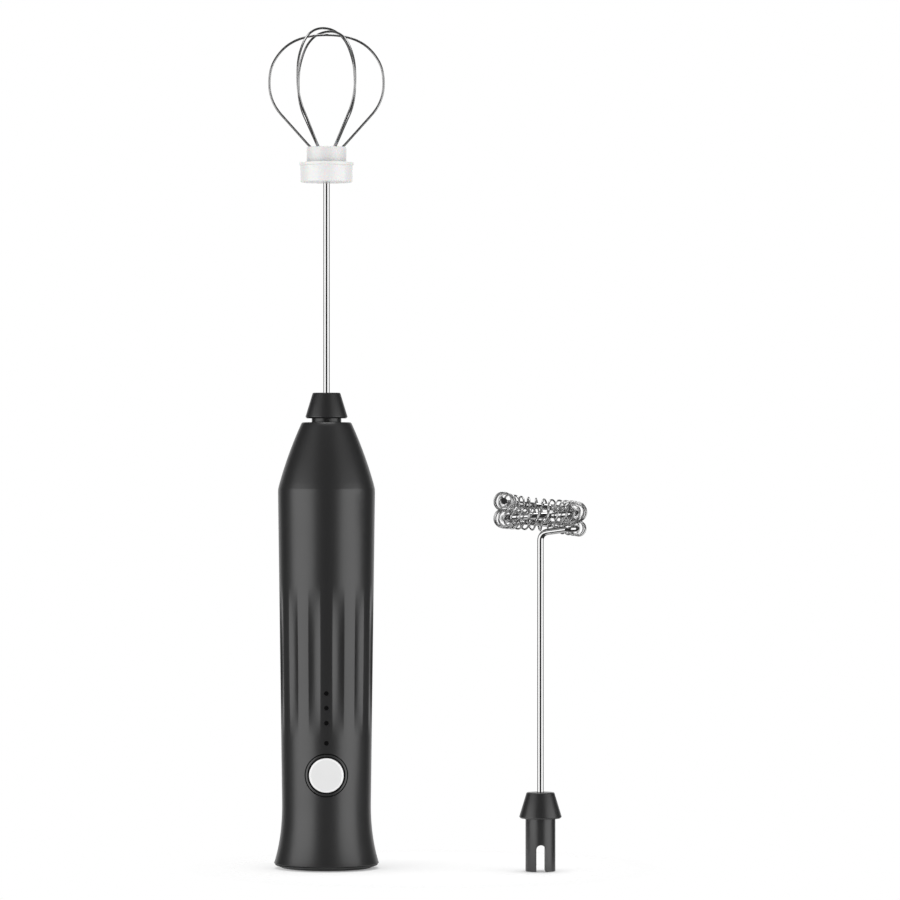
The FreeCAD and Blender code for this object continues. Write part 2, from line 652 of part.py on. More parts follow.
def drive_hub():
    base = cyl(3.6, PLUG_Z - 0.5, PLUG_Z - 0.05)
    core = cyl(PLUG_BORE - DRIVE_GAP, PLUG_Z - 0.5, PLUG_Z + SLOT_H)
    half = SLOT_W / 2 - DRIVE_GAP
    wings = box(-half, half, -PLUG_R + 0.2, PLUG_R - 0.2, PLUG_Z - 0.05, PLUG_Z + SLOT_H - SLOT_W / 2 - 0.2)
    return fuse([base, core, wings]).cut(cyl(MOTOR_SHAFT_R, PLUG_Z - 1, PLUG_Z + 5.0))


# ---- attachments ----
def coupling(x, y, z):
    """Split plug with a cone above it; the slot runs front to back."""
    top = PLUG_L + CONE_H
    body = turned([(0, 0), (PLUG_R, 0), (PLUG_R, PLUG_L), (CONE_R - CONE_LIP, PLUG_L),
                   (CONE_R, PLUG_L + CONE_LIP), (CONE_TOP_R, top), (0, top)])
    soft = []
    for e in body.Edges:
        c = e.Curve
        if c.TypeId == "Part::GeomCircle":
            widest = abs(c.Center.z - PLUG_L - CONE_LIP) < 0.01
            if widest or abs(c.Center.z - top) < 0.01:
                soft.append(e)
    body = body.makeFillet(0.2, soft)
    r = SLOT_W / 2
    slot = box(-r, r, -9, 9, -1, SLOT_H - r).fuse(ycyl(r, -9, 9, 0, SLOT_H - r))
    body = body.cut([slot, cyl(PLUG_BORE, -1, SLOT_H + 1.4), cyl(SHAFT_R, SHAFT_FOOT, 40)])
    body.translate(V(x, y, z))
    return body.removeSplitter()


def whisk_shaft():
    return cyl(SHAFT_R, PLUG_Z + SHAFT_FOOT, HOLDER_Z + SHAFT_IN_HOLDER)


def hub_collar():
    z0, z1 = HUB_Z, HOLDER_Z
    lip = HUB_R + HUB_LIP
    return turned([(SHAFT_R, z0), (HUB_R - 0.35, z0), (HUB_R - 0.05, z0 + 0.3), (HUB_R, z1 - 1.2),
                   (lip, z1 - 0.9), (lip, z1 - 0.2), (lip - 0.2, z1), (TENON_R, z1),
                   (TENON_R, z0 + TENON_Z), (SHAFT_R, z0 + TENON_Z)])


def wire_holder(loops):
    z0, z1 = HOLDER_Z, HOLDER_TOP
    foot = HUB_Z + TENON_Z
    body = turned([(SHAFT_R, foot), (TENON_R, foot), (TENON_R, z0), (HOLDER_R, z0),
                   (HOLDER_R, z1 - 0.25), (HOLDER_R - 0.25, z1), (0, z1),
                   (0, z0 + SHAFT_IN_HOLDER), (SHAFT_R, z0 + SHAFT_IN_HOLDER)])
    return body.cut(loops)


def whisk_loop(angle, lift):
    """One closed wire loop. The three are alike; each stands a little above the last to cross it."""
    def station(out, up, lean):
        a = math.radians(lean)
        point = V(out * WHISK_R, 0, HOLDER_TOP + up * WHISK_H + lift)
        return (point, V(math.cos(a), 0, math.sin(a)))

    slope = station(0, 0, 48.2)[1]
    right = [(V(WIRE_RING, 0, HOLDER_TOP - WIRE_DEPTH), Z),
             (V(WIRE_RING, 0, HOLDER_TOP - 0.6 + lift), Z),
             (V(WIRE_RING + 1.0, 0, HOLDER_TOP + 0.8 + lift), slope),
             station(0.785, 0.286, 48.2), station(0.927, 0.393, 64.5), station(1.0, 0.572, 90),
             station(0.915, 0.769, 118.5), station(0.621, 0.931, 149), station(0, 1.0, 180)]
    left = [(V(-p.x, 0, p.z), V(way.x, 0, -way.z)) for p, way in reversed(right[:-1])]
    loop = rod(right + left, WIRE_R)
    loop.rotate(V(0, 0, 0), Z, angle)
    return loop


def helix(theta):
    """Point and direction of the rising, slightly leaning ring."""
    a = math.radians(theta)
    rise = RING_PITCH * theta / 360.0 + RING_LEAN * (1 - math.cos(a)) / 2
    point = V(SPARE_X + RING_R * math.cos(a), SPARE_Y + RING_R * math.sin(a), RING_Z + rise)
    climb = RING_PITCH / (2 * math.pi) + RING_LEAN * math.sin(a) / 2
    return point, unit(V(-RING_R * math.sin(a), RING_R * math.cos(a), climb))


def froth_shaft():
    """Shaft, bent arm and the ring that carries the spring."""
    out = unit(V(0.92, -0.36, ARM_RISE))
    foot = V(SPARE_X, SPARE_Y, SHAFT_FOOT)
    root = V(SPARE_X, SPARE_Y, RING_Z - ARM_DROP)
    stations = [(foot, Z), (root - Z * ELBOW, Z), (root + out * ELBOW, out), (root + out * ARM_L, out)]
    first, last = RING_ARC
    stations += [helix(theta) for theta in range(first, last + 1, 30)]
    return rod(stations, SHAFT_R)


def fade(share):
    """From 0 to 1 with a level start and end."""
    k = max(0.0, min(1.0, share))
    return k * k * (3 - 2 * k)


def froth_coil():
    """Round wire wound about the ring, drawn in spans that meet face to face.

    It starts with small loops beside the arm, and the last loop closes onto the ring's end.
    """
    start, end = COIL_ARC
    loops = (end - start) / 360.0 * COILS_PER_TURN
    wide = COIL_R - COIL_WIRE_R
    first = COIL_START_R - COIL_WIRE_R
    tight = SHAFT_R + COIL_WIRE_R

    def at(u):
        theta = start + (end - start) * u
        turn = loops * u
        a = math.radians(theta)
        grown = fade(turn / COIL_START_LOOPS)
        r = first + (wide * (1 - COIL_SQUEEZE * math.sin(a) ** 2) - first) * grown
        r = tight + (r - tight) * fade(loops - turn)
        phase = 2 * math.pi * turn
        out = V(math.cos(a), math.sin(a), 0)
        shift = COIL_START_OUT * (1 - grown)
        return helix(theta)[0] + out * (r * math.cos(phase) + shift) + Z * (r * math.sin(phase))

    per_span = int(round(loops * 3 / COIL_SPANS))
    count = per_span * COIL_SPANS
    stations = []
    for i in range(count + 1):
        u = i / count
        way = unit(at(min(1, u + 1e-5)) - at(max(0, u - 1e-5)))
        stations.append((at(u), way))
    spans = [stations[k:k + per_span + 1] for k in range(0, count, per_span)]
    return group([rod(span, COIL_WIRE_R) for span in spans])


# ---- leads ----
def over_the_top(start, x, pad_z):
    """A lead that crosses above the spine and comes down in front of the board."""
    y = BOARD_FACE - 1.4
    z = CUP_Z + 1.2
    return [start, V(start.x, start.y, z), V(x, y, z), V(x, y, pad_z), V(x, BOARD_FACE, pad_z)]


def leads():
    pad_z = BOARD_Z1 - 3.0
    out = {}
    for name, side in (("motor_lead_red", 1), ("motor_lead_black", -1)):
        start = V(side * TERMINAL_X, TERMINAL_Y, MOTOR_Z - 3.0)
        out[name] = lead(over_the_top(start, side * TERMINAL_X, pad_z), LEAD_R, 0.7)
    x = CELL_LEAD_X
    out["battery_lead_red"] = lead(over_the_top(V(x, LEAD_Y, CELL_Z1 + 0.2), x, pad_z), LEAD_R, 0.7)
    out["battery_lead_black"] = lead([V(-x, LEAD_Y, CELL_Z0 - 0.2), V(-x, LEAD_Y, LOW_LEAD_Z),
                                      V(-x, BOARD_BACK, LOW_LEAD_Z)], LEAD_R, 0.8)
    for name, x in (("charge_lead_red", CHARGE_LEAD_X), ("charge_lead_black", -CHARGE_LEAD_X)):
        y = SPINE_BACK + 2.1
        out[name] = lead([V(x, y, CHARGE_TOP), V(x, y, CHARGE_LEAD_Z), V(x, BOARD_BACK, CHARGE_LEAD_Z)],
                         LEAD_R, 0.8)
    return out


def build():
    loops = [whisk_loop(angle, lift) for angle, lift in zip((0, 120, 60), LOOP_LIFTS)]
    parts = {
        "handle_shell": handle_shell(), "base_cap": base_cap(), "base_seal": base_seal(),
        "button_ring": button_ring(), "button": button(), "light_guide": light_guide(),
        "inner_frame": inner_frame(), "main_board": main_board(), "board_screws": board_screws(),
        "switch_body": switch_body(), "switch_plunger": switch_plunger(), "status_leds": status_leds(),
        "controller_chip": chip(-3, 3, 25, 19, 0.9), "motor_driver_chip": chip(-2, 2, 16, 13, 1.1),
        "chip_resistors": group([chip(x - 0.5, x + 0.5, 11, 9.4, 0.4) for x in (-2, 0, 2)]),
        "charge_board": charge_board(), "usb_receptacle": usb_receptacle(),
        "charge_chip": box(3.5, 6, BORE_R - 9.7, BORE_R - 8.0, CHARGE_TOP, CHARGE_TOP + 0.9),
        "battery_cell": battery_cell(), "battery_sleeve": battery_sleeve(), "battery_tabs": battery_tabs(),
        "battery_pads": battery_pads(), "motor_can": motor_can(), "motor_end_bell": end_bell(),
        "motor_magnets": motor_magnets(), "front_bush": bush(MOTOR_TOP - 0.8, MOTOR_TOP + 1.2),
        "rear_bush": bush(MOTOR_Z + 0.8, MOTOR_Z + 3.2), "motor_brushes": motor_brushes(),
        "motor_terminals": motor_terminals(), "motor_sleeve": motor_sleeve(), "motor_pad": motor_pad(),
        "shaft_seal": shaft_seal(), "motor_shaft": motor_shaft(), "armature_core": armature_core(),
        "armature_windings": armature_windings(), "commutator": commutator(), "drive_hub": drive_hub(),
        "whisk_coupling": coupling(0, 0, PLUG_Z), "whisk_shaft": whisk_shaft(), "hub_collar": hub_collar(),
        "wire_holder": wire_holder(loops), "whisk_loop_low": loops[0], "whisk_loop_mid": loops[1],
        "whisk_loop_high": loops[2], "froth_coupling": coupling(SPARE_X, SPARE_Y, 0),
        "froth_shaft": froth_shaft(), "froth_coil": froth_coil()}
    parts.update(leads())
    return parts


os.makedirs("parts", exist_ok=True)
for node, shape in build().items():
    shape.exportStep("parts/" + node + ".step")
    print(node, shape.isValid(), len(shape.Solids), round(shape.Volume, 3))
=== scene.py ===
# %% [markdown]
# A milk frother in Blender. The handle stands upright with its balloon whisk pushed in, and the spare
# spring head stands beside it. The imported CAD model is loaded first: every piece built here takes its place
# from a CAD piece and moves with the same body. Lengths are metres; MM turns the workshop's millimetres
# into them.

# %% Load the frame
import json
import math

import bmesh
import bpy
from mathutils import Matrix, Vector

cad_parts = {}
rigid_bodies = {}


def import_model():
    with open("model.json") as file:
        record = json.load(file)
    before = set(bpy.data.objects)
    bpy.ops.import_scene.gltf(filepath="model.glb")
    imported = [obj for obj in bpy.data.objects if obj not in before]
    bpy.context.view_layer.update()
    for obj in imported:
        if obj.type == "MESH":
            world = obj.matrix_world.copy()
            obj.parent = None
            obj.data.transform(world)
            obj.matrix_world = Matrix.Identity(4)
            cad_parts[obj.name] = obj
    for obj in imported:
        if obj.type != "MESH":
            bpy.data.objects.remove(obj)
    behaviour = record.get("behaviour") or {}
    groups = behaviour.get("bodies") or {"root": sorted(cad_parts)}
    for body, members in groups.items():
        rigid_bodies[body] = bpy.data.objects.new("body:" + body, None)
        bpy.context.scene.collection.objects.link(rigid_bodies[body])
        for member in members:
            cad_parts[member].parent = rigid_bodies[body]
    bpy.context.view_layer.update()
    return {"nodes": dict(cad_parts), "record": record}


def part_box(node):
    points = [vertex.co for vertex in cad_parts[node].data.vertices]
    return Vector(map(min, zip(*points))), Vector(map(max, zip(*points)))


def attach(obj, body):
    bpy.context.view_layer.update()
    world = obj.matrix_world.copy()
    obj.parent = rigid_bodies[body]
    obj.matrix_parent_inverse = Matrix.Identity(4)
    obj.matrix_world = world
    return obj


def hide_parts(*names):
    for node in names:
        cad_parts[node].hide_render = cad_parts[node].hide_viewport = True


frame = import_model()
MM = 0.001

# %% [markdown]
# The camera looks level at the pair from far away through a long lens, so the upright sides stay almost
# parallel. It stands in front of the handle and turns a little to take in the spare head, so the button
# stays in the middle of the handle.

# %% Camera
EYE = Vector((5.79, -1525, 129.4)) * MM
AIM_X = 38.29 * MM
LENS = 196.7
camera_data = bpy.data.cameras.new("catalogue_camera")
camera_data.lens = LENS
camera_data.clip_end = 20
camera = bpy.data.objects.new("catalogue_camera", camera_data)
camera.location = EYE
camera.rotation_euler = (math.radians(90), 0, -math.atan((AIM_X - EYE.x) / -EYE.y))
bpy.context.scene.collection.objects.link(camera)
bpy.context.scene.camera = camera
print("camera", round(EYE.length, 3), "m away")


# %% [markdown]
# Shader graphs get long when each node takes three lines, so small helpers add a node, set its values and
# link its inputs. An input given as a socket is linked; anything else is a plain value. The sums, ramps and
# colour mixes that come up again and again have a helper each, which gives back the socket to link on from.

# %% Node helpers
def add_node(tree, kind, inputs=None, **settings):
    node = tree.nodes.new(kind)
    for key, value in settings.items():
        setattr(node, key, value)
    for key, value in (inputs or {}).items():
        if isinstance(value, bpy.types.NodeSocket):
            tree.links.new(value, node.inputs[key])
        else:
            node.inputs[key].default_value = value
    return node


def calculate(tree, operation, a, b=None):
    inputs = {0: a} if b is None else {0: a, 1: b}
    return add_node(tree, "ShaderNodeMath", inputs, operation=operation).outputs[0]


def distance(tree, vector):
    return add_node(tree, "ShaderNodeVectorMath", {0: vector}, operation="LENGTH").outputs["Value"]


def ramp(tree, value, low, high, at_low=0.0, at_high=1.0, **settings):
    inputs = {"Value": value, "From Min": low, "From Max": high, "To Min": at_low, "To Max": at_high}
    return add_node(tree, "ShaderNodeMapRange", inputs, **settings).outputs["Result"]


def mix_colors(tree, mask, color, other):
    inputs = {0: mask, 6: color, 7: (*other, 1)}
    return add_node(tree, "ShaderNodeMix", inputs, data_type="RGBA").outputs[2]


# %% [markdown]
# Both shared effects are node groups of one kind. Each takes a colour, a roughness and two values of its
# own, and puts out an uneven colour, an uneven roughness and a height for a bump.

# %% Effect helpers
def new_effect(name, own_values):
    """An empty effect group, with its inputs and outputs by name."""
    group = bpy.data.node_groups.new(name, "ShaderNodeTree")
    for socket in ("Color", "Roughness", *own_values):
        kind = "NodeSocketColor" if socket == "Color" else "NodeSocketFloat"
        group.interface.new_socket(socket, in_out="INPUT", socket_type=kind)
    for socket in ("Color", "Roughness", "Height"):
        kind = "NodeSocketColor" if socket == "Color" else "NodeSocketFloat"
        group.interface.new_socket(socket, in_out="OUTPUT", socket_type=kind)
    return group, group.nodes.new("NodeGroupInput").outputs, group.nodes.new("NodeGroupOutput").inputs


def finish_effect(group, given, out, change, height):
    """Brightens the colour and raises the roughness by the change, and passes the height on."""
    bright = calculate(group, "ADD", change, 1.0)
    tint = add_node(group, "ShaderNodeVectorMath", {0: given["Color"], "Scale": bright}, operation="SCALE")
    group.links.new(tint.outputs["Vector"], out["Color"])
    group.links.new(calculate(group, "ADD", change, given["Roughness"]), out["Roughness"])
    group.links.new(height, out["Height"])
    print("node group", group.name)
    return group


# %% [markdown]
# Moulded plastic is never perfectly smooth: the tool that shaped it was spark-eroded, which leaves a fine
# pebbled grain. The satin black, the grey button and the white hub all share that grain at different
# strengths.

# %% Group: moulded grain
PATCHES_PER_METRE = 90.0


def make_moulded_grain():
    group, given, out = new_effect("moulded_grain", ("Grain size", "Unevenness"))
    place = group.nodes.new("ShaderNodeTexCoord").outputs["Object"]
    count = calculate(group, "DIVIDE", 1.0, given["Grain size"])
    pebbles = add_node(group, "ShaderNodeTexNoise", {"Vector": place, "Scale": count, "Detail": 3.0,
                                                     "Roughness": 0.6})
    patches = add_node(group, "ShaderNodeTexNoise", {"Vector": place, "Scale": PATCHES_PER_METRE,
                                                     "Detail": 4.0})
    shade = calculate(group, "ADD", patches.outputs["Fac"], -0.5)
    depth = calculate(group, "MULTIPLY", shade, given["Unevenness"])
    return finish_effect(group, given, out, depth, pebbles.outputs["Fac"])


moulded_grain = make_moulded_grain()


# %% [markdown]
# Drawn wire and ground shafts carry faint lengthwise lines from the die they were pulled through.
# Stretching a noise along Z gives such lines on an upright shaft, and a second, coarser noise varies how
# polished the steel is.

# %% Group: drawn steel
LINES_PER_METRE, CLOUDS_PER_METRE = 3500.0, 160.0


def make_drawn_steel():
    group, given, out = new_effect("drawn_steel", ("Stretch", "Lines"))
    place = group.nodes.new("ShaderNodeTexCoord").outputs["Object"]
    along = add_node(group, "ShaderNodeCombineXYZ", {"X": 1.0, "Y": 1.0, "Z": given["Stretch"]})
    pulled = add_node(group, "ShaderNodeVectorMath", {0: place, 1: along.outputs[0]}, operation="MULTIPLY")
    lines = add_node(group, "ShaderNodeTexNoise", {"Vector": pulled.outputs["Vector"],
                                                   "Scale": LINES_PER_METRE, "Detail": 2.0})
    clouds = add_node(group, "ShaderNodeTexNoise", {"Vector": place, "Scale": CLOUDS_PER_METRE,
                                                    "Detail": 3.0})
    both = calculate(group, "ADD", calculate(group, "ADD", clouds.outputs["Fac"], -0.5),
                     calculate(group, "ADD", lines.outputs["Fac"], -0.5))
    scaled = calculate(group, "MULTIPLY", both, given["Lines"])
    return finish_effect(group, given, out, scaled, lines.outputs["Fac"])


drawn_steel = make_drawn_steel()


# %% [markdown]
# Each finish is a Principled BSDF fed by one of the two groups. Values that are the same all over, such as
# IOR, coat or transmission, are set on the shader itself so that they survive an export.

# %% Finish makers
GRAIN_DEPTH, LINE_DEPTH = 0.02 * MM, 0.001 * MM


def finish_material(name, group, color, roughness, group_values, bump, metallic=0.0, **sockets):
    material = bpy.data.materials.new(name)
    material.use_nodes = True
    tree = material.node_tree
    shader = tree.nodes["Principled BSDF"]
    effect = add_node(tree, "ShaderNodeGroup", node_tree=group)
    for key, value in {"Color": (*color, 1.0), "Roughness": roughness, **group_values}.items():
        effect.inputs[key].default_value = value
    relief = add_node(tree, "ShaderNodeBump", {"Height": effect.outputs["Height"], "Strength": bump[0],
                                               "Distance": bump[1]})
    tree.links.new(effect.outputs["Color"], shader.inputs["Base Color"])
    tree.links.new(effect.outputs["Roughness"], shader.inputs["Roughness"])
    tree.links.new(relief.outputs["Normal"], shader.inputs["Normal"])
    shader.inputs["Metallic"].default_value = metallic
    for key, value in sockets.items():
        shader.inputs[key.replace("_", " ")].default_value = value
    return material


def moulded(name, color, roughness, grain=0.3, uneven=0.06, bump=0.25, **sockets):
    values = {"Grain size": grain * MM, "Unevenness": uneven}
    return finish_material(name, moulded_grain, color, roughness, values, (bump, GRAIN_DEPTH), **sockets)


def steel(name, color, roughness, stretch=0.02, lines=0.12, bump=0.1, **sockets):
    values = {"Stretch": stretch, "Lines": lines}
    return finish_material(name, drawn_steel, color, roughness, values, (bump, LINE_DEPTH), metallic=1.0,
                           **sockets)


# %% [markdown]
# One finish for each material slot of the record. The outside ones matter most: satin black for the handle
# and plugs, pale grey for the button, natural white nylon for the hub, bright steel for shafts and wires.
# The inside ones are seen only when the handle is opened, but they get real finishes too.

# %% Outside finishes
finishes = {
    "body_black": moulded("satin_black", (0.0165, 0.0165, 0.017), 0.36, grain=0.25, bump=0.1,
                          Specular_IOR_Level=1.0),
    "coupling_black": moulded("plug_black", (0.016, 0.016, 0.0165), 0.36, grain=0.2, bump=0.1,
                              Specular_IOR_Level=1.0),
    "button_grey": moulded("button_grey", (0.82, 0.82, 0.82), 0.4, grain=0.2, uneven=0.02, bump=0.1),
    "dark_lens": moulded("smoked_lens", (0.004, 0.004, 0.004), 0.15, grain=0.4, bump=0.0, IOR=1.49),
    "hub_white": moulded("natural_nylon", (0.895, 0.895, 0.89), 0.36, grain=0.3, uneven=0.03, bump=0.1,
                         Subsurface_Weight=0.15, Subsurface_Scale=0.002, Specular_IOR_Level=1.0),
    "shaft_steel": steel("polished_shaft", (0.68, 0.68, 0.68), 0.07, lines=0.03, bump=0.0),
    "wire_steel": steel("bright_wire", (0.48, 0.48, 0.48), 0.25, stretch=0.3, lines=0.05, bump=0.0),
}
print(len(finishes), "outside finishes")

# %% Inside finishes
finishes.update({
    "seal_rubber": moulded("black_rubber", (0.02, 0.02, 0.02), 0.7),
    "frame_grey": moulded("frame_grey", (0.26, 0.27, 0.29), 0.5),
    "board_green": moulded("solder_mask", (0.01, 0.08, 0.03), 0.3, uneven=0.15),
    "screw_steel": steel("zinc_screw", (0.6, 0.6, 0.62), 0.3),
    "chip_black": moulded("chip_epoxy", (0.012, 0.012, 0.013), 0.55),
    "led_white": moulded("led_epoxy", (0.8, 0.8, 0.7), 0.2),
    "port_steel": steel("port_shell", (0.6, 0.6, 0.62), 0.25),
    "cell_steel": steel("cell_can", (0.62, 0.62, 0.63), 0.25),
    "cell_wrap": moulded("cell_film", (0.02, 0.09, 0.35), 0.25),
    "nickel_strip": steel("nickel", (0.66, 0.64, 0.6), 0.3),
    "foam": moulded("black_foam", (0.02, 0.02, 0.02), 0.95, grain=0.6, bump=1.0),
    "motor_steel": steel("motor_can_steel", (0.58, 0.58, 0.6), 0.3),
    "end_bell_white": moulded("end_bell_nylon", (0.72, 0.7, 0.66), 0.45),
    "magnet_grey": moulded("ferrite", (0.04, 0.04, 0.045), 0.7, uneven=0.2),
    "bronze": steel("sintered_bronze", (0.5, 0.33, 0.14), 0.45),
    "brush_copper": steel("copper", (0.75, 0.36, 0.2), 0.3),
    "winding_copper": steel("enamelled_copper", (0.55, 0.2, 0.07), 0.3, lines=0.3),
    "core_steel": steel("laminations", (0.25, 0.25, 0.27), 0.45, stretch=8.0, lines=0.3),
    "hub_nylon": moulded("drive_nylon", (0.7, 0.7, 0.66), 0.45),
    "plunger_white": moulded("plunger_nylon", (0.75, 0.75, 0.75), 0.45),
    "lead_red": moulded("red_lead", (0.5, 0.015, 0.01), 0.4),
    "lead_black": moulded("black_lead", (0.01, 0.01, 0.01), 0.4),
})
slot_of = {part["node"]: part["material_slot"] for part in frame["record"]["subparts"]}
for node, obj in frame["nodes"].items():
    obj.data.materials.clear()
    obj.data.materials.append(finishes[slot_of[node]])
print(len(finishes), "finishes,", len(slot_of), "CAD pieces finished")


# %% [markdown]
# Some finishes change from one part of a piece to another. Each such zone is a mask worked out from the
# piece's own coordinates, laid over the colour that its group gives.

# %% Zone helper
def open_finish(material):
    """The finish's node tree, its shader's inputs, its own colour and its coordinates."""
    tree = material.node_tree
    effect = next(node for node in tree.nodes if node.type == "GROUP")
    place = tree.nodes.new("ShaderNodeTexCoord")
    return tree, tree.nodes["Principled BSDF"].inputs, effect.outputs["Color"], place.outputs["Object"]


# %% [markdown]
# The button carries painted light in two zones: a painted highlight on the bevel round its face, and painted
# shade on its side, down in the gap. They go by the distance from the button's own axis and from its face.

# %% Button painted highlight and shade
BUTTON_Z, BUTTON_R = 29.4, 5.32
# The first pair places the painted highlight on the bevel; the second sets the depth where the painted shade
# down the side begins.
PAINTED_RIM_HIGHLIGHT = (0.7, 0.4)
PAINTED_GAP_SHADE = (0.3, 0.45)
button_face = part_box("button")[0].y


def add_button_highlight_and_shade(material):
    tree, shader, color, place = open_finish(material)
    centred = add_node(tree, "ShaderNodeVectorMath", {0: place, 1: (0, 0, -BUTTON_Z * MM)}, operation="ADD")
    flat = add_node(tree, "ShaderNodeVectorMath", {0: centred.outputs["Vector"], 1: (1, 0, 1)},
                    operation="MULTIPLY")
    reach = distance(tree, flat.outputs["Vector"])
    # Painted highlight: the bevel round the face is made near white, as if catching the light.
    rim_highlight = ramp(tree, reach, *((BUTTON_R - inset) * MM for inset in PAINTED_RIM_HIGHLIGHT))
    depth = add_node(tree, "ShaderNodeSeparateXYZ", {0: place}).outputs["Y"]
    # Painted shade: the button's side, back from its face in the gap, is made near black.
    side = ramp(tree, depth, *(button_face + back * MM for back in PAINTED_GAP_SHADE))
    with_rim_highlight = mix_colors(tree, rim_highlight, color, (0.97, 0.97, 0.97))
    tree.links.new(mix_colors(tree, side, with_rim_highlight, (0.02, 0.02, 0.02)), shader["Base Color"])


add_button_highlight_and_shade(finishes["button_grey"])
print("button zones added")


# %% [markdown]
# The whisk's hub has painted shade: the holder is greyer above its collar, and greyest in the corner where
# the two meet. That mask goes by the height over the collar.

# %% Holder painted shade
# The height over the collar across which the painted shade fades, and how much of it is kept higher up.
HOLDER_EDGE, SHADE_HEIGHT, SHADE_HIGHER_UP = 0.05, 3.2, 0.35
holder_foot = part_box("hub_collar")[1].z


def add_holder_shade(material):
    tree, shader, color, place = open_finish(material)
    height = add_node(tree, "ShaderNodeSeparateXYZ", {0: place}).outputs["Z"]
    above = ramp(tree, height, holder_foot - HOLDER_EDGE * MM, holder_foot + HOLDER_EDGE * MM)
    corner_shade = ramp(tree, height, holder_foot, holder_foot + SHADE_HEIGHT * MM, 1.0, SHADE_HIGHER_UP)
    painted_shade = calculate(tree, "MULTIPLY", above, corner_shade)
    # Painted shade: the holder is greyed, darkest in the corner just over the collar.
    tree.links.new(mix_colors(tree, painted_shade, color, (0.7, 0.7, 0.695)), shader["Base Color"])


add_holder_shade(finishes["hub_white"])
print("holder zone added")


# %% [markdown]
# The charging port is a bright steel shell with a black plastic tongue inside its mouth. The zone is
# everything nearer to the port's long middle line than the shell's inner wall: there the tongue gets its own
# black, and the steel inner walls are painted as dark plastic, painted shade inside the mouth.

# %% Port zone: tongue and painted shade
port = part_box("usb_receptacle")
port_z = (port[0].z + port[1].z) / 2 / MM
MOUTH_R, MOUTH_FLAT, MOUTH_EDGE = 1.3, 2.85, 0.06


def add_port_tongue_and_shade(material):
    tree, shader, color, place = open_finish(material)
    parts = add_node(tree, "ShaderNodeSeparateXYZ", {0: place}).outputs
    past = calculate(tree, "SUBTRACT", calculate(tree, "ABSOLUTE", parts["X"]), MOUTH_FLAT * MM)
    aside = calculate(tree, "MAXIMUM", past, 0.0)
    over = calculate(tree, "SUBTRACT", parts["Z"], port_z * MM)
    offset = add_node(tree, "ShaderNodeCombineXYZ", {"X": aside, "Z": over})
    reach = distance(tree, offset.outputs[0])
    # Inside the mouth: the tongue's own black, and painted shade on the steel walls, which also lose their
    # metal.
    tongue_and_painted_shade = ramp(tree, reach, MOUTH_R * MM, (MOUTH_R + MOUTH_EDGE) * MM, 1.0, 0.0)
    tree.links.new(mix_colors(tree, tongue_and_painted_shade, color, (0.012, 0.012, 0.012)), shader["Base Color"])
    tree.links.new(calculate(tree, "SUBTRACT", 1.0, tongue_and_painted_shade), shader["Metallic"])


add_port_tongue_and_shade(finishes["port_steel"])
print("port at", round(port_z, 2), "mm")


# %% [markdown]
# Every new piece goes through one door: it becomes an object, gets its finish, stands in for its CAD
# pieces, and rides on their body. The finish is its slot's, unless another is given.

# %% Piece helper
def place_piece(name, mesh, nodes, body, finish=None):
    piece = bpy.data.objects.new(name, mesh)
    bpy.context.scene.collection.objects.link(piece)
    mesh.materials.append(finish or finishes[slot_of[nodes[0]]])
    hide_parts(*nodes)
    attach(piece, body)
    print(name, len(mesh.polygons), "faces")
    return piece


# %% [markdown]
# Most of the tool is turned: one outline spun about an axis. The outline is a list of (radius, height)
# corners in millimetres, each with the radius that rounds it. Rounded corners are what catch the light on a
# moulding, so every corner gets one.

# %% Turned outlines
def rounded_outline(corners, steps=5):
    """Corners (r, z, rounding) become points, each corner swapped for a short arc."""
    points = []
    last = len(corners) - 1
    for i, (r, z, rounding) in enumerate(corners):
        here = Vector((r, z))
        if i in (0, last) or rounding <= 0:
            points.append(here)
            continue
        before = Vector(corners[i - 1][:2]) - here
        after = Vector(corners[i + 1][:2]) - here
        size = min(rounding, before.length * 0.48, after.length * 0.48)
        a = here + before.normalized() * size
        b = here + after.normalized() * size
        for k in range(steps + 1):
            t = k / steps
            points.append(a * (1 - t) ** 2 + here * 2 * t * (1 - t) + b * t ** 2)
    return points


def spin(points, segments=160, radius_at=None):
    """Closed skin of revolution about Z. An end on the axis is capped with a fan."""
    mesh = bpy.data.meshes.new("turned")
    bm = bmesh.new()
    rings = []
    for p in points:
        if p.x < 1e-6:
            rings.append([bm.verts.new((0, 0, p.y * MM))])
            continue
        ring = []
        for k in range(segments):
            a = 2 * math.pi * k / segments
            r = radius_at(p, a) if radius_at else p.x
            ring.append(bm.verts.new((r * math.cos(a) * MM, r * math.sin(a) * MM, p.y * MM)))
        rings.append(ring)
    if len(rings[0]) > 1 and len(rings[-1]) > 1:
        rings.append(rings[0])
    for low, high in zip(rings, rings[1:]):
        for k in range(segments):
            n = (k + 1) % segments
            quad = [low[k % len(low)], low[n % len(low)], high[n % len(high)], high[k % len(high)]]
            corners = list(dict.fromkeys(quad))
            if len(corners) > 2:
                bm.faces.new(corners)
    bmesh.ops.recalc_face_normals(bm, faces=bm.faces)
    bm.to_mesh(mesh)
    bm.free()
    mesh.shade_smooth()
    return mesh


def crisp(mesh, degrees=35):
    mesh.set_sharp_from_angle(angle=math.radians(degrees))
    return mesh


# %% [markdown]
# Holes are cut with the Boolean modifier, which is applied at once so that the piece ends as one plain
# mesh. The cutter is a rod or block that is thrown away afterwards.

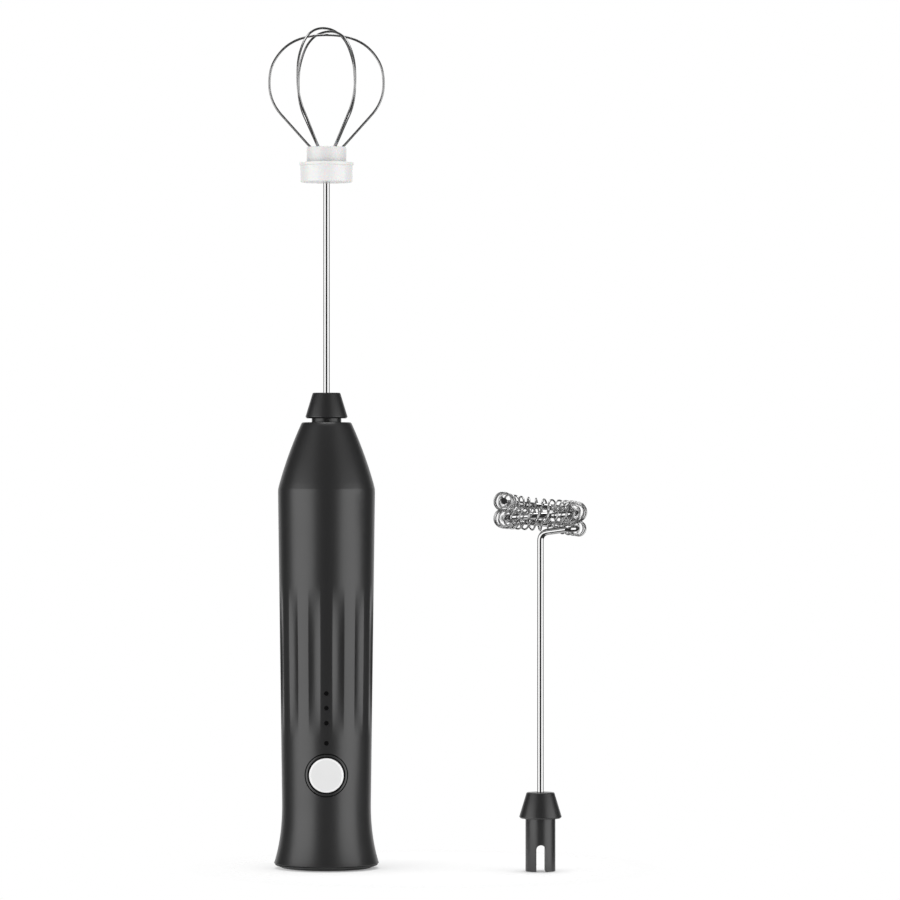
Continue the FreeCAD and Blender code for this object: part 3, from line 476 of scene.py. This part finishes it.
# %% Cutting holes
def rod_between(a, b, r, segments=64):
    """A closed round bar from a to b, millimetres."""
    a, b = Vector(a) * MM, Vector(b) * MM
    mesh = bpy.data.meshes.new("bar")
    bm = bmesh.new()
    bmesh.ops.create_cone(bm, cap_ends=True, segments=segments, radius1=r * MM, radius2=r * MM,
                          depth=(b - a).length)
    turn = (b - a).to_track_quat("Z", "Y").to_matrix().to_4x4()
    bm.transform(Matrix.Translation((a + b) / 2) @ turn)
    bm.to_mesh(mesh)
    bm.free()
    return mesh


def block(low, high):
    mesh = bpy.data.meshes.new("block")
    bm = bmesh.new()
    bmesh.ops.create_cube(bm, size=1)
    low, high = Vector(low) * MM, Vector(high) * MM
    bm.transform(Matrix.Translation((low + high) / 2) @ Matrix.Diagonal((*(high - low), 1)))
    bm.to_mesh(mesh)
    bm.free()
    return mesh


def cut_away(mesh, cutters):
    """Takes each cutter out of the mesh and gives back the finished mesh."""
    scene = bpy.context.scene.collection.objects
    work = bpy.data.objects.new("work", mesh)
    scene.link(work)
    tools = []
    for i, cutter in enumerate(cutters):
        tool = bpy.data.objects.new("tool_%d" % i, cutter)
        scene.link(tool)
        tools.append(tool)
        step = work.modifiers.new("cut", "BOOLEAN")
        step.operation, step.solver, step.object = "DIFFERENCE", "EXACT", tool
    bpy.context.view_layer.update()
    made = bpy.data.meshes.new_from_object(work.evaluated_get(bpy.context.evaluated_depsgraph_get()))
    for obj in tools + [work]:
        bpy.data.objects.remove(obj)
    return made


# %% [markdown]
# The handle is one tall moulding. Its waist, shoulder and nose heights are workshop sizes; the CAD box
# gives the rest. Twelve shallow grooves run up the grip. Each keeps a constant width and fades out at both
# ends, so its depth is a parabola both across and along.

# %% Handle sizes
TOP_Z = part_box("handle_shell")[1].z / MM
BASE_R, PARTING_Z = 16.27, 1.3
WAIST_R, WAIST_Z = 13.78, 20.9
SHOULDER_R, SHOULDER_Z = 15.05, 117.3
NOSE_R = 7.64
FLARE_POWER, FLARE_HOLLOW, NOSE_BULGE = 2.3, 0.26, 2.0
FLUTES, FLUTE_DEPTH, FLUTE_Z = 12, 0.42, (41.0, 88.0)
SOCKET_R, SOCKET_Z, SHAFT_HOLE_R = 5.0, 122.2, 1.5
BORE_R, BORE_FOOT, BORE_TOP = 11.9, 8.6, 120.8
CAP_SOCKET_R, CAP_SOCKET_TOP = 13.0, 7.4
print("handle", round(TOP_Z, 1), "mm tall")


# %% Handle outline and grooves
def side_radius(z):
    if z < WAIST_Z:
        u = (WAIST_Z - z) / (WAIST_Z - PARTING_Z)
        return WAIST_R + (BASE_R - WAIST_R) * u ** FLARE_POWER - FLARE_HOLLOW * u * (1 - u)
    if z < SHOULDER_Z:
        return WAIST_R + (SHOULDER_R - WAIST_R) * (z - WAIST_Z) / (SHOULDER_Z - WAIST_Z)
    u = (z - SHOULDER_Z) / (TOP_Z - SHOULDER_Z)
    return SHOULDER_R + (NOSE_R - SHOULDER_R) * u + NOSE_BULGE * u * (1 - u)


def groove_depth(z, angle):
    u = (z - FLUTE_Z[0]) / (FLUTE_Z[1] - FLUTE_Z[0])
    if not 0 < u < 1:
        return 0.0
    pitch = 2 * math.pi / FLUTES
    across = ((angle + math.pi / 2) / pitch) % 1.0 - 0.5
    side = min(1.0, abs(across) / 0.25)
    return FLUTE_DEPTH * 4 * u * (1 - u) * (1 - side * side)


def shell_radius(p, angle):
    """Grooves the outside only: points well inside it belong to the bore."""
    if p.x < side_radius(p.y) - 0.6:
        return p.x
    return p.x - groove_depth(p.y, angle)


# %% Handle mesh
SHOULDER_SOFTENING = 0.045
outline = [Vector((SOCKET_R, TOP_Z)), Vector((NOSE_R - 0.45, TOP_Z)), Vector((NOSE_R - 0.12, TOP_Z - 0.08))]
z = TOP_Z - 0.4
while z > SHOULDER_Z + 0.5:
    outline.append(Vector((side_radius(z), z)))
    z -= 1.0
for z in (SHOULDER_Z + 0.35, SHOULDER_Z + 0.12, SHOULDER_Z - 0.15, SHOULDER_Z - 0.45):
    outline.append(Vector((side_radius(z) - SHOULDER_SOFTENING, z)))
z = SHOULDER_Z - 1.0
while z > PARTING_Z + 0.4:
    outline.append(Vector((side_radius(z), z)))
    z -= 0.75
outline += [Vector((BASE_R - 0.02, PARTING_Z + 0.2)), Vector((BASE_R - 0.2, PARTING_Z)),
            Vector((CAP_SOCKET_R, PARTING_Z)), Vector((CAP_SOCKET_R, CAP_SOCKET_TOP)),
            Vector((BORE_R, BORE_FOOT)), Vector((BORE_R, BORE_TOP)), Vector((6.0, BORE_TOP)),
            Vector((SHAFT_HOLE_R, BORE_TOP)), Vector((SHAFT_HOLE_R, SOCKET_Z)), Vector((SOCKET_R, SOCKET_Z))]
shell = spin(outline, segments=480, radius_at=shell_radius)
RING_OUT, RING_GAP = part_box("button_ring")[1].x / MM, 0.3
PORT_HALF, PORT_R = 3.0, 1.9
LIGHT_R, LIGHTS_Z = 0.73, (39.3, 45.5, 50.1, 54.6)
holes = [rod_between((0, -20, BUTTON_Z), (0, -8, BUTTON_Z), RING_OUT + RING_GAP, 128),
         block((-PORT_HALF, 9, port_z - PORT_R), (PORT_HALF, 20, port_z + PORT_R))]
holes += [rod_between((x, 9, port_z), (x, 20, port_z), PORT_R) for x in (-PORT_HALF, PORT_HALF)]
holes += [rod_between((0, -20, z), (0, -10, z), LIGHT_R, 32) for z in LIGHTS_Z]
shell = crisp(cut_away(shell, holes), 40)
place_piece("handle_body", shell, ["handle_shell"], "handle")

# %% [markdown]
# The foot is a separate cap. Its lip is bevelled and stands a little inside the handle's edge, which leaves
# the dark parting line round the bottom.

# %% Base cap
CAP_R, CAP_BEVEL, CAP_TOP, CAP_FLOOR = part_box("base_cap")[1].x / MM, 2.33, 1.1, 2.2
SPIGOT_R, SPIGOT_BORE_R, SPIGOT_TOP = 12.95, 11.3, 7.0
cap = [(0, 0, 0), (CAP_R - CAP_BEVEL, 0, 0.2), (CAP_R - 0.03, 0.9, 0.15), (CAP_R, CAP_TOP, 0.05),
       (SPIGOT_R, CAP_TOP, 0.05), (SPIGOT_R, SPIGOT_TOP, 0.2), (SPIGOT_BORE_R, SPIGOT_TOP, 0.2),
       (SPIGOT_BORE_R, CAP_FLOOR, 0.3), (0, CAP_FLOOR, 0)]
place_piece("foot_cap", crisp(spin(rounded_outline(cap))), ["base_cap"], "handle")


# %% [markdown]
# The button sits in a trim ring. Both face the front, so their outlines are spun about an axis that points
# at the viewer: a turned mesh is tipped forward and pushed to the button's height. The ring's front then
# bends back at both sides to follow the round handle, so it shades just as the handle does, with a dark
# line inside and outside it.

# %% Button and ring
def face_front(mesh, z):
    turn = Matrix.Rotation(math.radians(90), 4, "X")
    mesh.transform(Matrix.Translation((0, 0, z * MM)) @ turn)
    return mesh


def follow_handle(mesh, crown, thinnest):
    """Moves the front half of a front-facing ring back onto a cylinder of the crown's radius."""
    for v in mesh.vertices:
        height = -v.co.y / MM
        if height > thinnest:
            surface = max(math.sqrt(crown ** 2 - (v.co.x / MM) ** 2), thinnest + 0.2)
            v.co.y = (crown - height - surface) * MM
    return mesh


button_front = -button_face / MM
STEM_R, STEM_BACK, BUTTON_BEVEL = 1.5, 9.9, 0.34
FLANGE_R, FLANGE_BACK, FLANGE_FRONT = 5.97, 11.3, 12.0
key = [(0, STEM_BACK, 0), (STEM_R, STEM_BACK, 0.2), (STEM_R, FLANGE_BACK, 0.05), (FLANGE_R, FLANGE_BACK, 0.1),
       (FLANGE_R, FLANGE_FRONT, 0.1), (BUTTON_R, FLANGE_FRONT, 0.05),
       (BUTTON_R, button_front - BUTTON_BEVEL, 0.12), (BUTTON_R - BUTTON_BEVEL, button_front, 0.12),
       (0, button_front, 0)]
place_piece("power_button", crisp(face_front(spin(rounded_outline(key)), BUTTON_Z), 50), ["button"], "button")
ring_front = -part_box("button_ring")[0].y / MM
LIP_BACK, LIP_BORE_R, WALL_BACK, WALL_BORE_R = 12.1, 5.8, 10.9, 6.12
trim = [(LIP_BORE_R, LIP_BACK, 0.02), (LIP_BORE_R, ring_front, 0.1), (RING_OUT, ring_front, 0.1),
        (RING_OUT, WALL_BACK, 0.05), (WALL_BORE_R, WALL_BACK, 0.05), (WALL_BORE_R, LIP_BACK, 0.02)]
trim_mesh = follow_handle(face_front(spin(rounded_outline(trim)), BUTTON_Z), ring_front, LIP_BACK)
place_piece("button_trim", crisp(trim_mesh, 50), ["button_ring"], "handle")


# %% [markdown]
# Both attachments share one plug: a split tube that grips the motor's driver, with a cone above it. The
# slot is cut through from front to back with a round top.

# %% Split plugs
PLUG_R, PLUG_L = 4.6, 16.2
DRIVE_BORE_R, DRIVE_BORE_L = 2.45, 9.6
CONE_R, CONE_LIP, CONE_TOP_R, CONE_H = 6.55, 0.45, 4.27, 7.95
SLOT_W, SLOT_H = 2.8, 8.2


def plug_mesh(foot):
    corners = [(0, DRIVE_BORE_L, 0), (DRIVE_BORE_R, DRIVE_BORE_L, 0.1), (DRIVE_BORE_R, 0, 0.1),
               (PLUG_R, 0, 0.1), (PLUG_R, PLUG_L, 0.05), (CONE_R - CONE_LIP, PLUG_L, 0.05),
               (CONE_R, PLUG_L + CONE_LIP, 0.15), (CONE_TOP_R, PLUG_L + CONE_H, 0.3), (0, PLUG_L + CONE_H, 0)]
    half = SLOT_W / 2
    top = SLOT_H - half
    slot = [block((-half, -9, -1), (half, 9, top)), rod_between((0, -9, top), (0, 9, top), half)]
    mesh = crisp(cut_away(spin(rounded_outline(corners)), slot), 40)
    mesh.transform(Matrix.Translation(foot * MM))
    return mesh


whisk_plug_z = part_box("whisk_coupling")[0].z / MM
froth_box = [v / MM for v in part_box("froth_coupling")]
SPARE = (froth_box[0] + froth_box[1]) / 2
SPARE.z = 0
place_piece("whisk_plug", plug_mesh(Vector((0, 0, whisk_plug_z))), ["whisk_coupling"], "whisk_attachment")
place_piece("froth_plug", plug_mesh(SPARE), ["froth_coupling"], "froth_attachment")

# %% [markdown]
# The whisk's hub is two nylon pieces: a wide collar on the shaft, and a narrower holder above it that grips
# the wire ends. The collar has a thin lip at its top edge.

# %% Hub
hub_low, hub_high = (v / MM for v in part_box("hub_collar"))
holder_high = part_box("wire_holder")[1] / MM
HUB_Z, HOLDER_Z, HOLDER_TOP = hub_low.z, hub_high.z, holder_high.z
LIP_R, HOLDER_R = hub_high.x, holder_high.x
HUB_R = LIP_R - 0.35
SHAFT_R, SEAT_R, SEAT_Z, SHAFT_END_Z = 1.0, 4.0, HUB_Z + 2.8, HOLDER_Z + 2.7
collar = [(SHAFT_R, HUB_Z, 0), (HUB_R - 0.05, HUB_Z, 0.3), (HUB_R, HOLDER_Z - 1.1, 0.1),
          (LIP_R, HOLDER_Z - 0.8, 0.1), (LIP_R, HOLDER_Z, 0.2), (SEAT_R, HOLDER_Z, 0.1),
          (SEAT_R, SEAT_Z, 0.1), (SHAFT_R, SEAT_Z, 0)]
place_piece("hub_collar_nylon", crisp(spin(rounded_outline(collar))), ["hub_collar"], "whisk_attachment")
holder = [(0, SHAFT_END_Z, 0), (SHAFT_R, SHAFT_END_Z, 0), (SHAFT_R, SEAT_Z, 0), (SEAT_R, SEAT_Z, 0),
          (SEAT_R, HOLDER_Z, 0), (HOLDER_R, HOLDER_Z, 0.1), (HOLDER_R, HOLDER_TOP, 0.4), (0, HOLDER_TOP, 0)]
place_piece("wire_holder_nylon", crisp(spin(rounded_outline(holder))), ["wire_holder"], "whisk_attachment")


# %% [markdown]
# Everything else is round wire. A wire is a smooth curve through a few stations, each a point and the way
# the wire runs there, with a ring of points carried along it. Cubic Hermite spans join the stations, drawn
# out so that a plain bend comes out as a round arc. Each ring is turned no more than the curve bends, so
# the wire doesn't twist.

# %% Wires
def smooth_path(stations, step=0.35):
    """Points along Hermite spans through (point, direction) stations, millimetres."""
    points = []
    for (p, tp), (q, tq) in zip(stations, stations[1:]):
        span = (q - p).length
        turn = tp.angle(tq)
        reach = span * (1.0 if turn < 1e-4 else 2 * math.tan(turn / 4) / math.sin(turn / 2))
        count = max(2, int(span / step))
        for k in range(count):
            t = k / count
            points.append(p * (2 * t ** 3 - 3 * t ** 2 + 1) + tp * (t ** 3 - 2 * t ** 2 + t) * reach
                          + q * (3 * t ** 2 - 2 * t ** 3) + tq * (t ** 3 - t ** 2) * reach)
    points.append(stations[-1][0].copy())
    return points


def wire_mesh(points, r, sides=16):
    mesh = bpy.data.meshes.new("wire")
    bm = bmesh.new()
    rings = []
    way = (points[1] - points[0]).normalized()
    side = way.orthogonal().normalized()
    for i, p in enumerate(points):
        ahead = points[min(i + 1, len(points) - 1)] - points[max(i - 1, 0)]
        new_way = ahead.normalized()
        side = way.rotation_difference(new_way) @ side
        side = (side - new_way * side.dot(new_way)).normalized()
        way = new_way
        other = way.cross(side)
        rings.append([bm.verts.new((p + (side * math.cos(a) + other * math.sin(a)) * r) * MM)
                      for a in (2 * math.pi * k / sides for k in range(sides))])
    for low, high in zip(rings, rings[1:]):
        for k in range(sides):
            n = (k + 1) % sides
            bm.faces.new((low[k], low[n], high[n], high[k]))
    bm.faces.new(rings[0][::-1])
    bm.faces.new(rings[-1])
    bm.to_mesh(mesh)
    bm.free()
    mesh.shade_smooth()
    return crisp(mesh, 60)


# %% [markdown]
# Three closed loops make the balloon. They cross at the crown one above the other, so each is a touch
# taller than the one below. The lean values say how far the wire has turned from straight out at each
# station.

# %% Balloon loops
WHISK_H, WHISK_WIRE = 34.72, 0.37
LEG_R, LEG_DEPTH = 4.75, 3.9


def loop_stations(lift):
    k = 1 + lift / WHISK_H
    balloon = ((5.75, 0.8, 48.2), (13.9, 9.9, 48.2), (16.4, 13.6, 64.5), (17.7, 19.8, 90),
               (16.2, 26.6, 118.5), (11.0, 32.2, 149), (0.0, WHISK_H, 180))
    half = [(LEG_R, -LEG_DEPTH, 90), (LEG_R, -0.6, 90)] + [(r, rise * k, lean) for r, rise, lean in balloon]
    right = []
    for r, rise, lean in half:
        a = math.radians(lean)
        right.append((Vector((r, 0, HOLDER_TOP + rise)), Vector((math.cos(a), 0, math.sin(a)))))
    left = [(Vector((-p.x, 0, p.z)), Vector((t.x, 0, -t.z))) for p, t in reversed(right[:-1])]
    return right + left


loop_places = (("whisk_loop_low", 0, 0.0), ("whisk_loop_mid", 120, 1.0), ("whisk_loop_high", 60, 2.05))
for node, angle, lift in loop_places:
    loop = wire_mesh(smooth_path(loop_stations(lift)), WHISK_WIRE)
    loop.transform(Matrix.Rotation(math.radians(angle), 4, "Z"))
    place_piece(node + "_wire", loop, [node], "whisk_attachment")

# %% [markdown]
# The whisk's shaft is straight. The spare's shaft is the same rod bent over at the top into an arm and then
# a rising ring, which carries the spring.

# %% Shafts
shaft_low, shaft_high = (v.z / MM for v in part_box("whisk_shaft"))
whisk_rod = [Vector((0, 0, shaft_low + (shaft_high - shaft_low) * k / 40)) for k in range(41)]
place_piece("whisk_rod", wire_mesh(whisk_rod, SHAFT_R, 32), ["whisk_shaft"], "whisk_attachment")
RING_R, RING_Z, RING_PITCH, RING_LEAN = 11.44, 105.2, 5.2, 0.6


def ring_point(degrees):
    a = math.radians(degrees)
    rise = RING_PITCH * degrees / 360 + RING_LEAN * (1 - math.cos(a)) / 2
    return SPARE + Vector((RING_R * math.cos(a), RING_R * math.sin(a), RING_Z + rise))


def ring_way(degrees):
    a = math.radians(degrees)
    climb = RING_PITCH / (2 * math.pi) + RING_LEAN * math.sin(a) / 2
    return Vector((-RING_R * math.sin(a), RING_R * math.cos(a), climb)).normalized()


ROD_FOOT, ELBOW, ARM_L, ARM_DROP = 11.0, 2.3, 8.2, 1.27
arm_way = Vector((0.92, -0.36, 0.135)).normalized()
up = Vector((0, 0, 1))
root = SPARE + up * (RING_Z - ARM_DROP)
bent = [(SPARE + up * ROD_FOOT, up), (root - up * ELBOW, up), (root + arm_way * ELBOW, arm_way),
        (root + arm_way * ARM_L, arm_way)]
bent += [(ring_point(angle), ring_way(angle)) for angle in range(10, 551, 30)]
place_piece("froth_rod", wire_mesh(smooth_path(bent), SHAFT_R, 24), ["froth_shaft"], "froth_attachment")

# %% [markdown]
# The spring is a long coil wound round that ring: a helix on a helix. Each turn of the ring holds a whole
# number of loops, so the loops of one turn lie between those of the next and never cross them. It starts
# small beside the arm, runs a little slimmer at the front and back, and its last loop closes down onto the
# rod. Its wire is a shade brighter than the whisk's.

# %% Spring
COIL_R, COIL_WIRE, LOOPS_PER_TURN = 3.05, 0.3, 29
COIL_START, COIL_END = -8.0, 553.0
START_R, START_OUT, START_LOOPS, SQUEEZE = 2.1, 0.4, 5, 0.16
loops = (COIL_END - COIL_START) / 360 * LOOPS_PER_TURN


def fade(share):
    k = max(0.0, min(1.0, share))
    return k * k * (3 - 2 * k)


def coil_point(u):
    degrees = COIL_START + (COIL_END - COIL_START) * u
    a = math.radians(degrees)
    grown = fade(loops * u / START_LOOPS)
    wide = (COIL_R - COIL_WIRE) * (1 - SQUEEZE * math.sin(a) ** 2)
    r = START_R + (wide - START_R) * grown
    tight = SHAFT_R + COIL_WIRE
    r = tight + (r - tight) * fade(loops * (1 - u))
    phase = 2 * math.pi * loops * u
    out = Vector((math.cos(a), math.sin(a), 0))
    aside = r * math.cos(phase) + START_OUT * (1 - grown)
    return ring_point(degrees) + out * aside + up * (r * math.sin(phase))


POINTS_PER_LOOP = 40
count = int(loops * POINTS_PER_LOOP)
coil = wire_mesh([coil_point(k / count) for k in range(count + 1)], COIL_WIRE, 10)
spring_wire = steel("spring_wire", (0.7, 0.7, 0.7), 0.25, stretch=0.3, lines=0.05, bump=0.0)
place_piece("froth_spring", coil, ["froth_coil"], "froth_attachment", spring_wire)

# %% [markdown]
# The studio stands on a round white table that fades out at its edge, so no far floor is mirrored in the
# black handle. Near the tools it is an ordinary matt white that takes their shadow. Further out it turns
# clear, and what shows through is the white surround.

# %% Floor
MIDDLE_X = 0.03
TABLE_FADE, TABLE_TONE, TABLE_DROP = (0.03, 0.075), (0.86, 0.88), 0.0002
FLOOR_LIFT = 0.25


def make_floor():
    mesh = bpy.data.meshes.new("floor")
    bm = bmesh.new()
    bmesh.ops.create_circle(bm, cap_ends=True, segments=96, radius=TABLE_FADE[1])
    bm.to_mesh(mesh)
    bm.free()
    material = bpy.data.materials.new("floor_white")
    material.use_nodes = True
    tree = material.node_tree
    shader = tree.nodes["Principled BSDF"]
    fleck = add_node(tree, "ShaderNodeTexNoise", {"Scale": 40.0})
    tree.links.new(ramp(tree, fleck.outputs["Fac"], 0.0, 1.0, *TABLE_TONE), shader.inputs["Base Color"])
    shader.inputs["Roughness"].default_value = 0.9
    shader.inputs["Specular IOR Level"].default_value = 0.0
    shader.inputs["Emission Color"].default_value = (1, 1, 1, 1)
    light_path = tree.nodes.new("ShaderNodeLightPath")
    seen = calculate(tree, "MULTIPLY", light_path.outputs["Is Camera Ray"], FLOOR_LIFT)
    tree.links.new(seen, shader.inputs["Emission Strength"])
    place = tree.nodes.new("ShaderNodeTexCoord")
    reach = distance(tree, place.outputs["Object"])
    solid = ramp(tree, reach, *TABLE_FADE, 1.0, 0.0, interpolation_type="SMOOTHSTEP")
    tree.links.new(solid, shader.inputs["Alpha"])
    floor = bpy.data.objects.new("floor", mesh)
    mesh.materials.append(material)
    bpy.context.scene.collection.objects.link(floor)
    floor.location = (MIDDLE_X, 0, -TABLE_DROP)


make_floor()
print("table fades out at", TABLE_FADE[1], "m")

# %% [markdown]
# Two wide, low softboxes stand left and right of the camera. An upright round side mirrors each of them as
# one long soft band. They end well below the height that a sloping side mirrors, which is why the nose cone
# above the shoulder turns dark. A high lamp adds the plain light that the white pieces need, from where no
# upright side mirrors it.

# %% Lights
SIDE_ANGLE, SIDE_REACH = 61, 1.3
SIDE_WIDTH, SIDE_HEIGHT, SIDE_Z, SIDE_WATTS = 1.5, 1.2, 0.05, 8.5
HIGH_PLACE, HIGH_AIM, HIGH_SIZE, HIGH_WATTS = (MIDDLE_X, 0, 1.9), (MIDDLE_X, 0, 0.12), 1.0, 11


def softbox(name, place, target, width, height, watts):
    data = bpy.data.lights.new(name, "AREA")
    data.shape, data.size, data.size_y, data.energy = "RECTANGLE", width, height, watts
    lamp = bpy.data.objects.new(name, data)
    lamp.location = place
    lamp.rotation_euler = (Vector(place) - Vector(target)).to_track_quat("Z", "Y").to_euler()
    bpy.context.scene.collection.objects.link(lamp)
    print(name, watts, "W")


for name, side in (("left_box", -1), ("right_box", 1)):
    a = math.radians(SIDE_ANGLE)
    centre = (MIDDLE_X + side * SIDE_REACH * math.sin(a), -SIDE_REACH * math.cos(a), SIDE_Z)
    softbox(name, centre, (MIDDLE_X, 0, SIDE_Z), SIDE_WIDTH, SIDE_HEIGHT, SIDE_WATTS)
softbox("high_box", HIGH_PLACE, HIGH_AIM, HIGH_SIZE, HIGH_SIZE, HIGH_WATTS)

# %% [markdown]
# The surround is white to the camera on every side. To the tools it is a dim room with a white backdrop
# behind them, so steel and gloss pick up that backdrop at their edges while the black stays black. Above
# each softbox the room glows faintly, which is all that the sloping nose cone mirrors.

# %% Surround
ROOM, BACKDROP, FILL, GLOW = 0.04, 1.0, 0.6, 0.3
BACKDROP_Y = (0.7, 0.95)
GLOW_BESIDE, GLOW_Z, GLOW_Y = (0.3, 0.6), (0.4, 0.6), (0.1, -0.3)


def make_surround():
    world = bpy.data.worlds.new("studio")
    bpy.context.scene.world = world
    world.use_nodes = True
    tree = world.node_tree
    tree.nodes.clear()
    light_path = tree.nodes.new("ShaderNodeLightPath")
    place = tree.nodes.new("ShaderNodeTexCoord")
    way = add_node(tree, "ShaderNodeSeparateXYZ", {0: place.outputs["Generated"]}).outputs
    behind = ramp(tree, way["Y"], *BACKDROP_Y, ROOM, BACKDROP, interpolation_type="SMOOTHSTEP")
    beside = calculate(tree, "ABSOLUTE", way["X"])
    glow = GLOW
    for value, limits in ((beside, GLOW_BESIDE), (way["Z"], GLOW_Z), (way["Y"], GLOW_Y)):
        glow = calculate(tree, "MULTIPLY", ramp(tree, value, *limits, interpolation_type="SMOOTHSTEP"), glow)
    mirrored = calculate(tree, "ADD", behind, glow)
    soft = add_node(tree, "ShaderNodeMix", {0: light_path.outputs["Is Diffuse Ray"], 2: mirrored, 3: FILL},
                    data_type="FLOAT")
    level = add_node(tree, "ShaderNodeMix", {0: light_path.outputs["Is Camera Ray"], 2: soft.outputs[0],
                                             3: 1.0}, data_type="FLOAT")
    sky = add_node(tree, "ShaderNodeBackground", {"Color": (1, 1, 1, 1), "Strength": level.outputs[0]})
    end = tree.nodes.new("ShaderNodeOutputWorld")
    tree.links.new(sky.outputs[0], end.inputs[0])


make_surround()
bpy.context.scene.view_settings.view_transform = "Standard"
print("surround", bpy.context.scene.world.name)
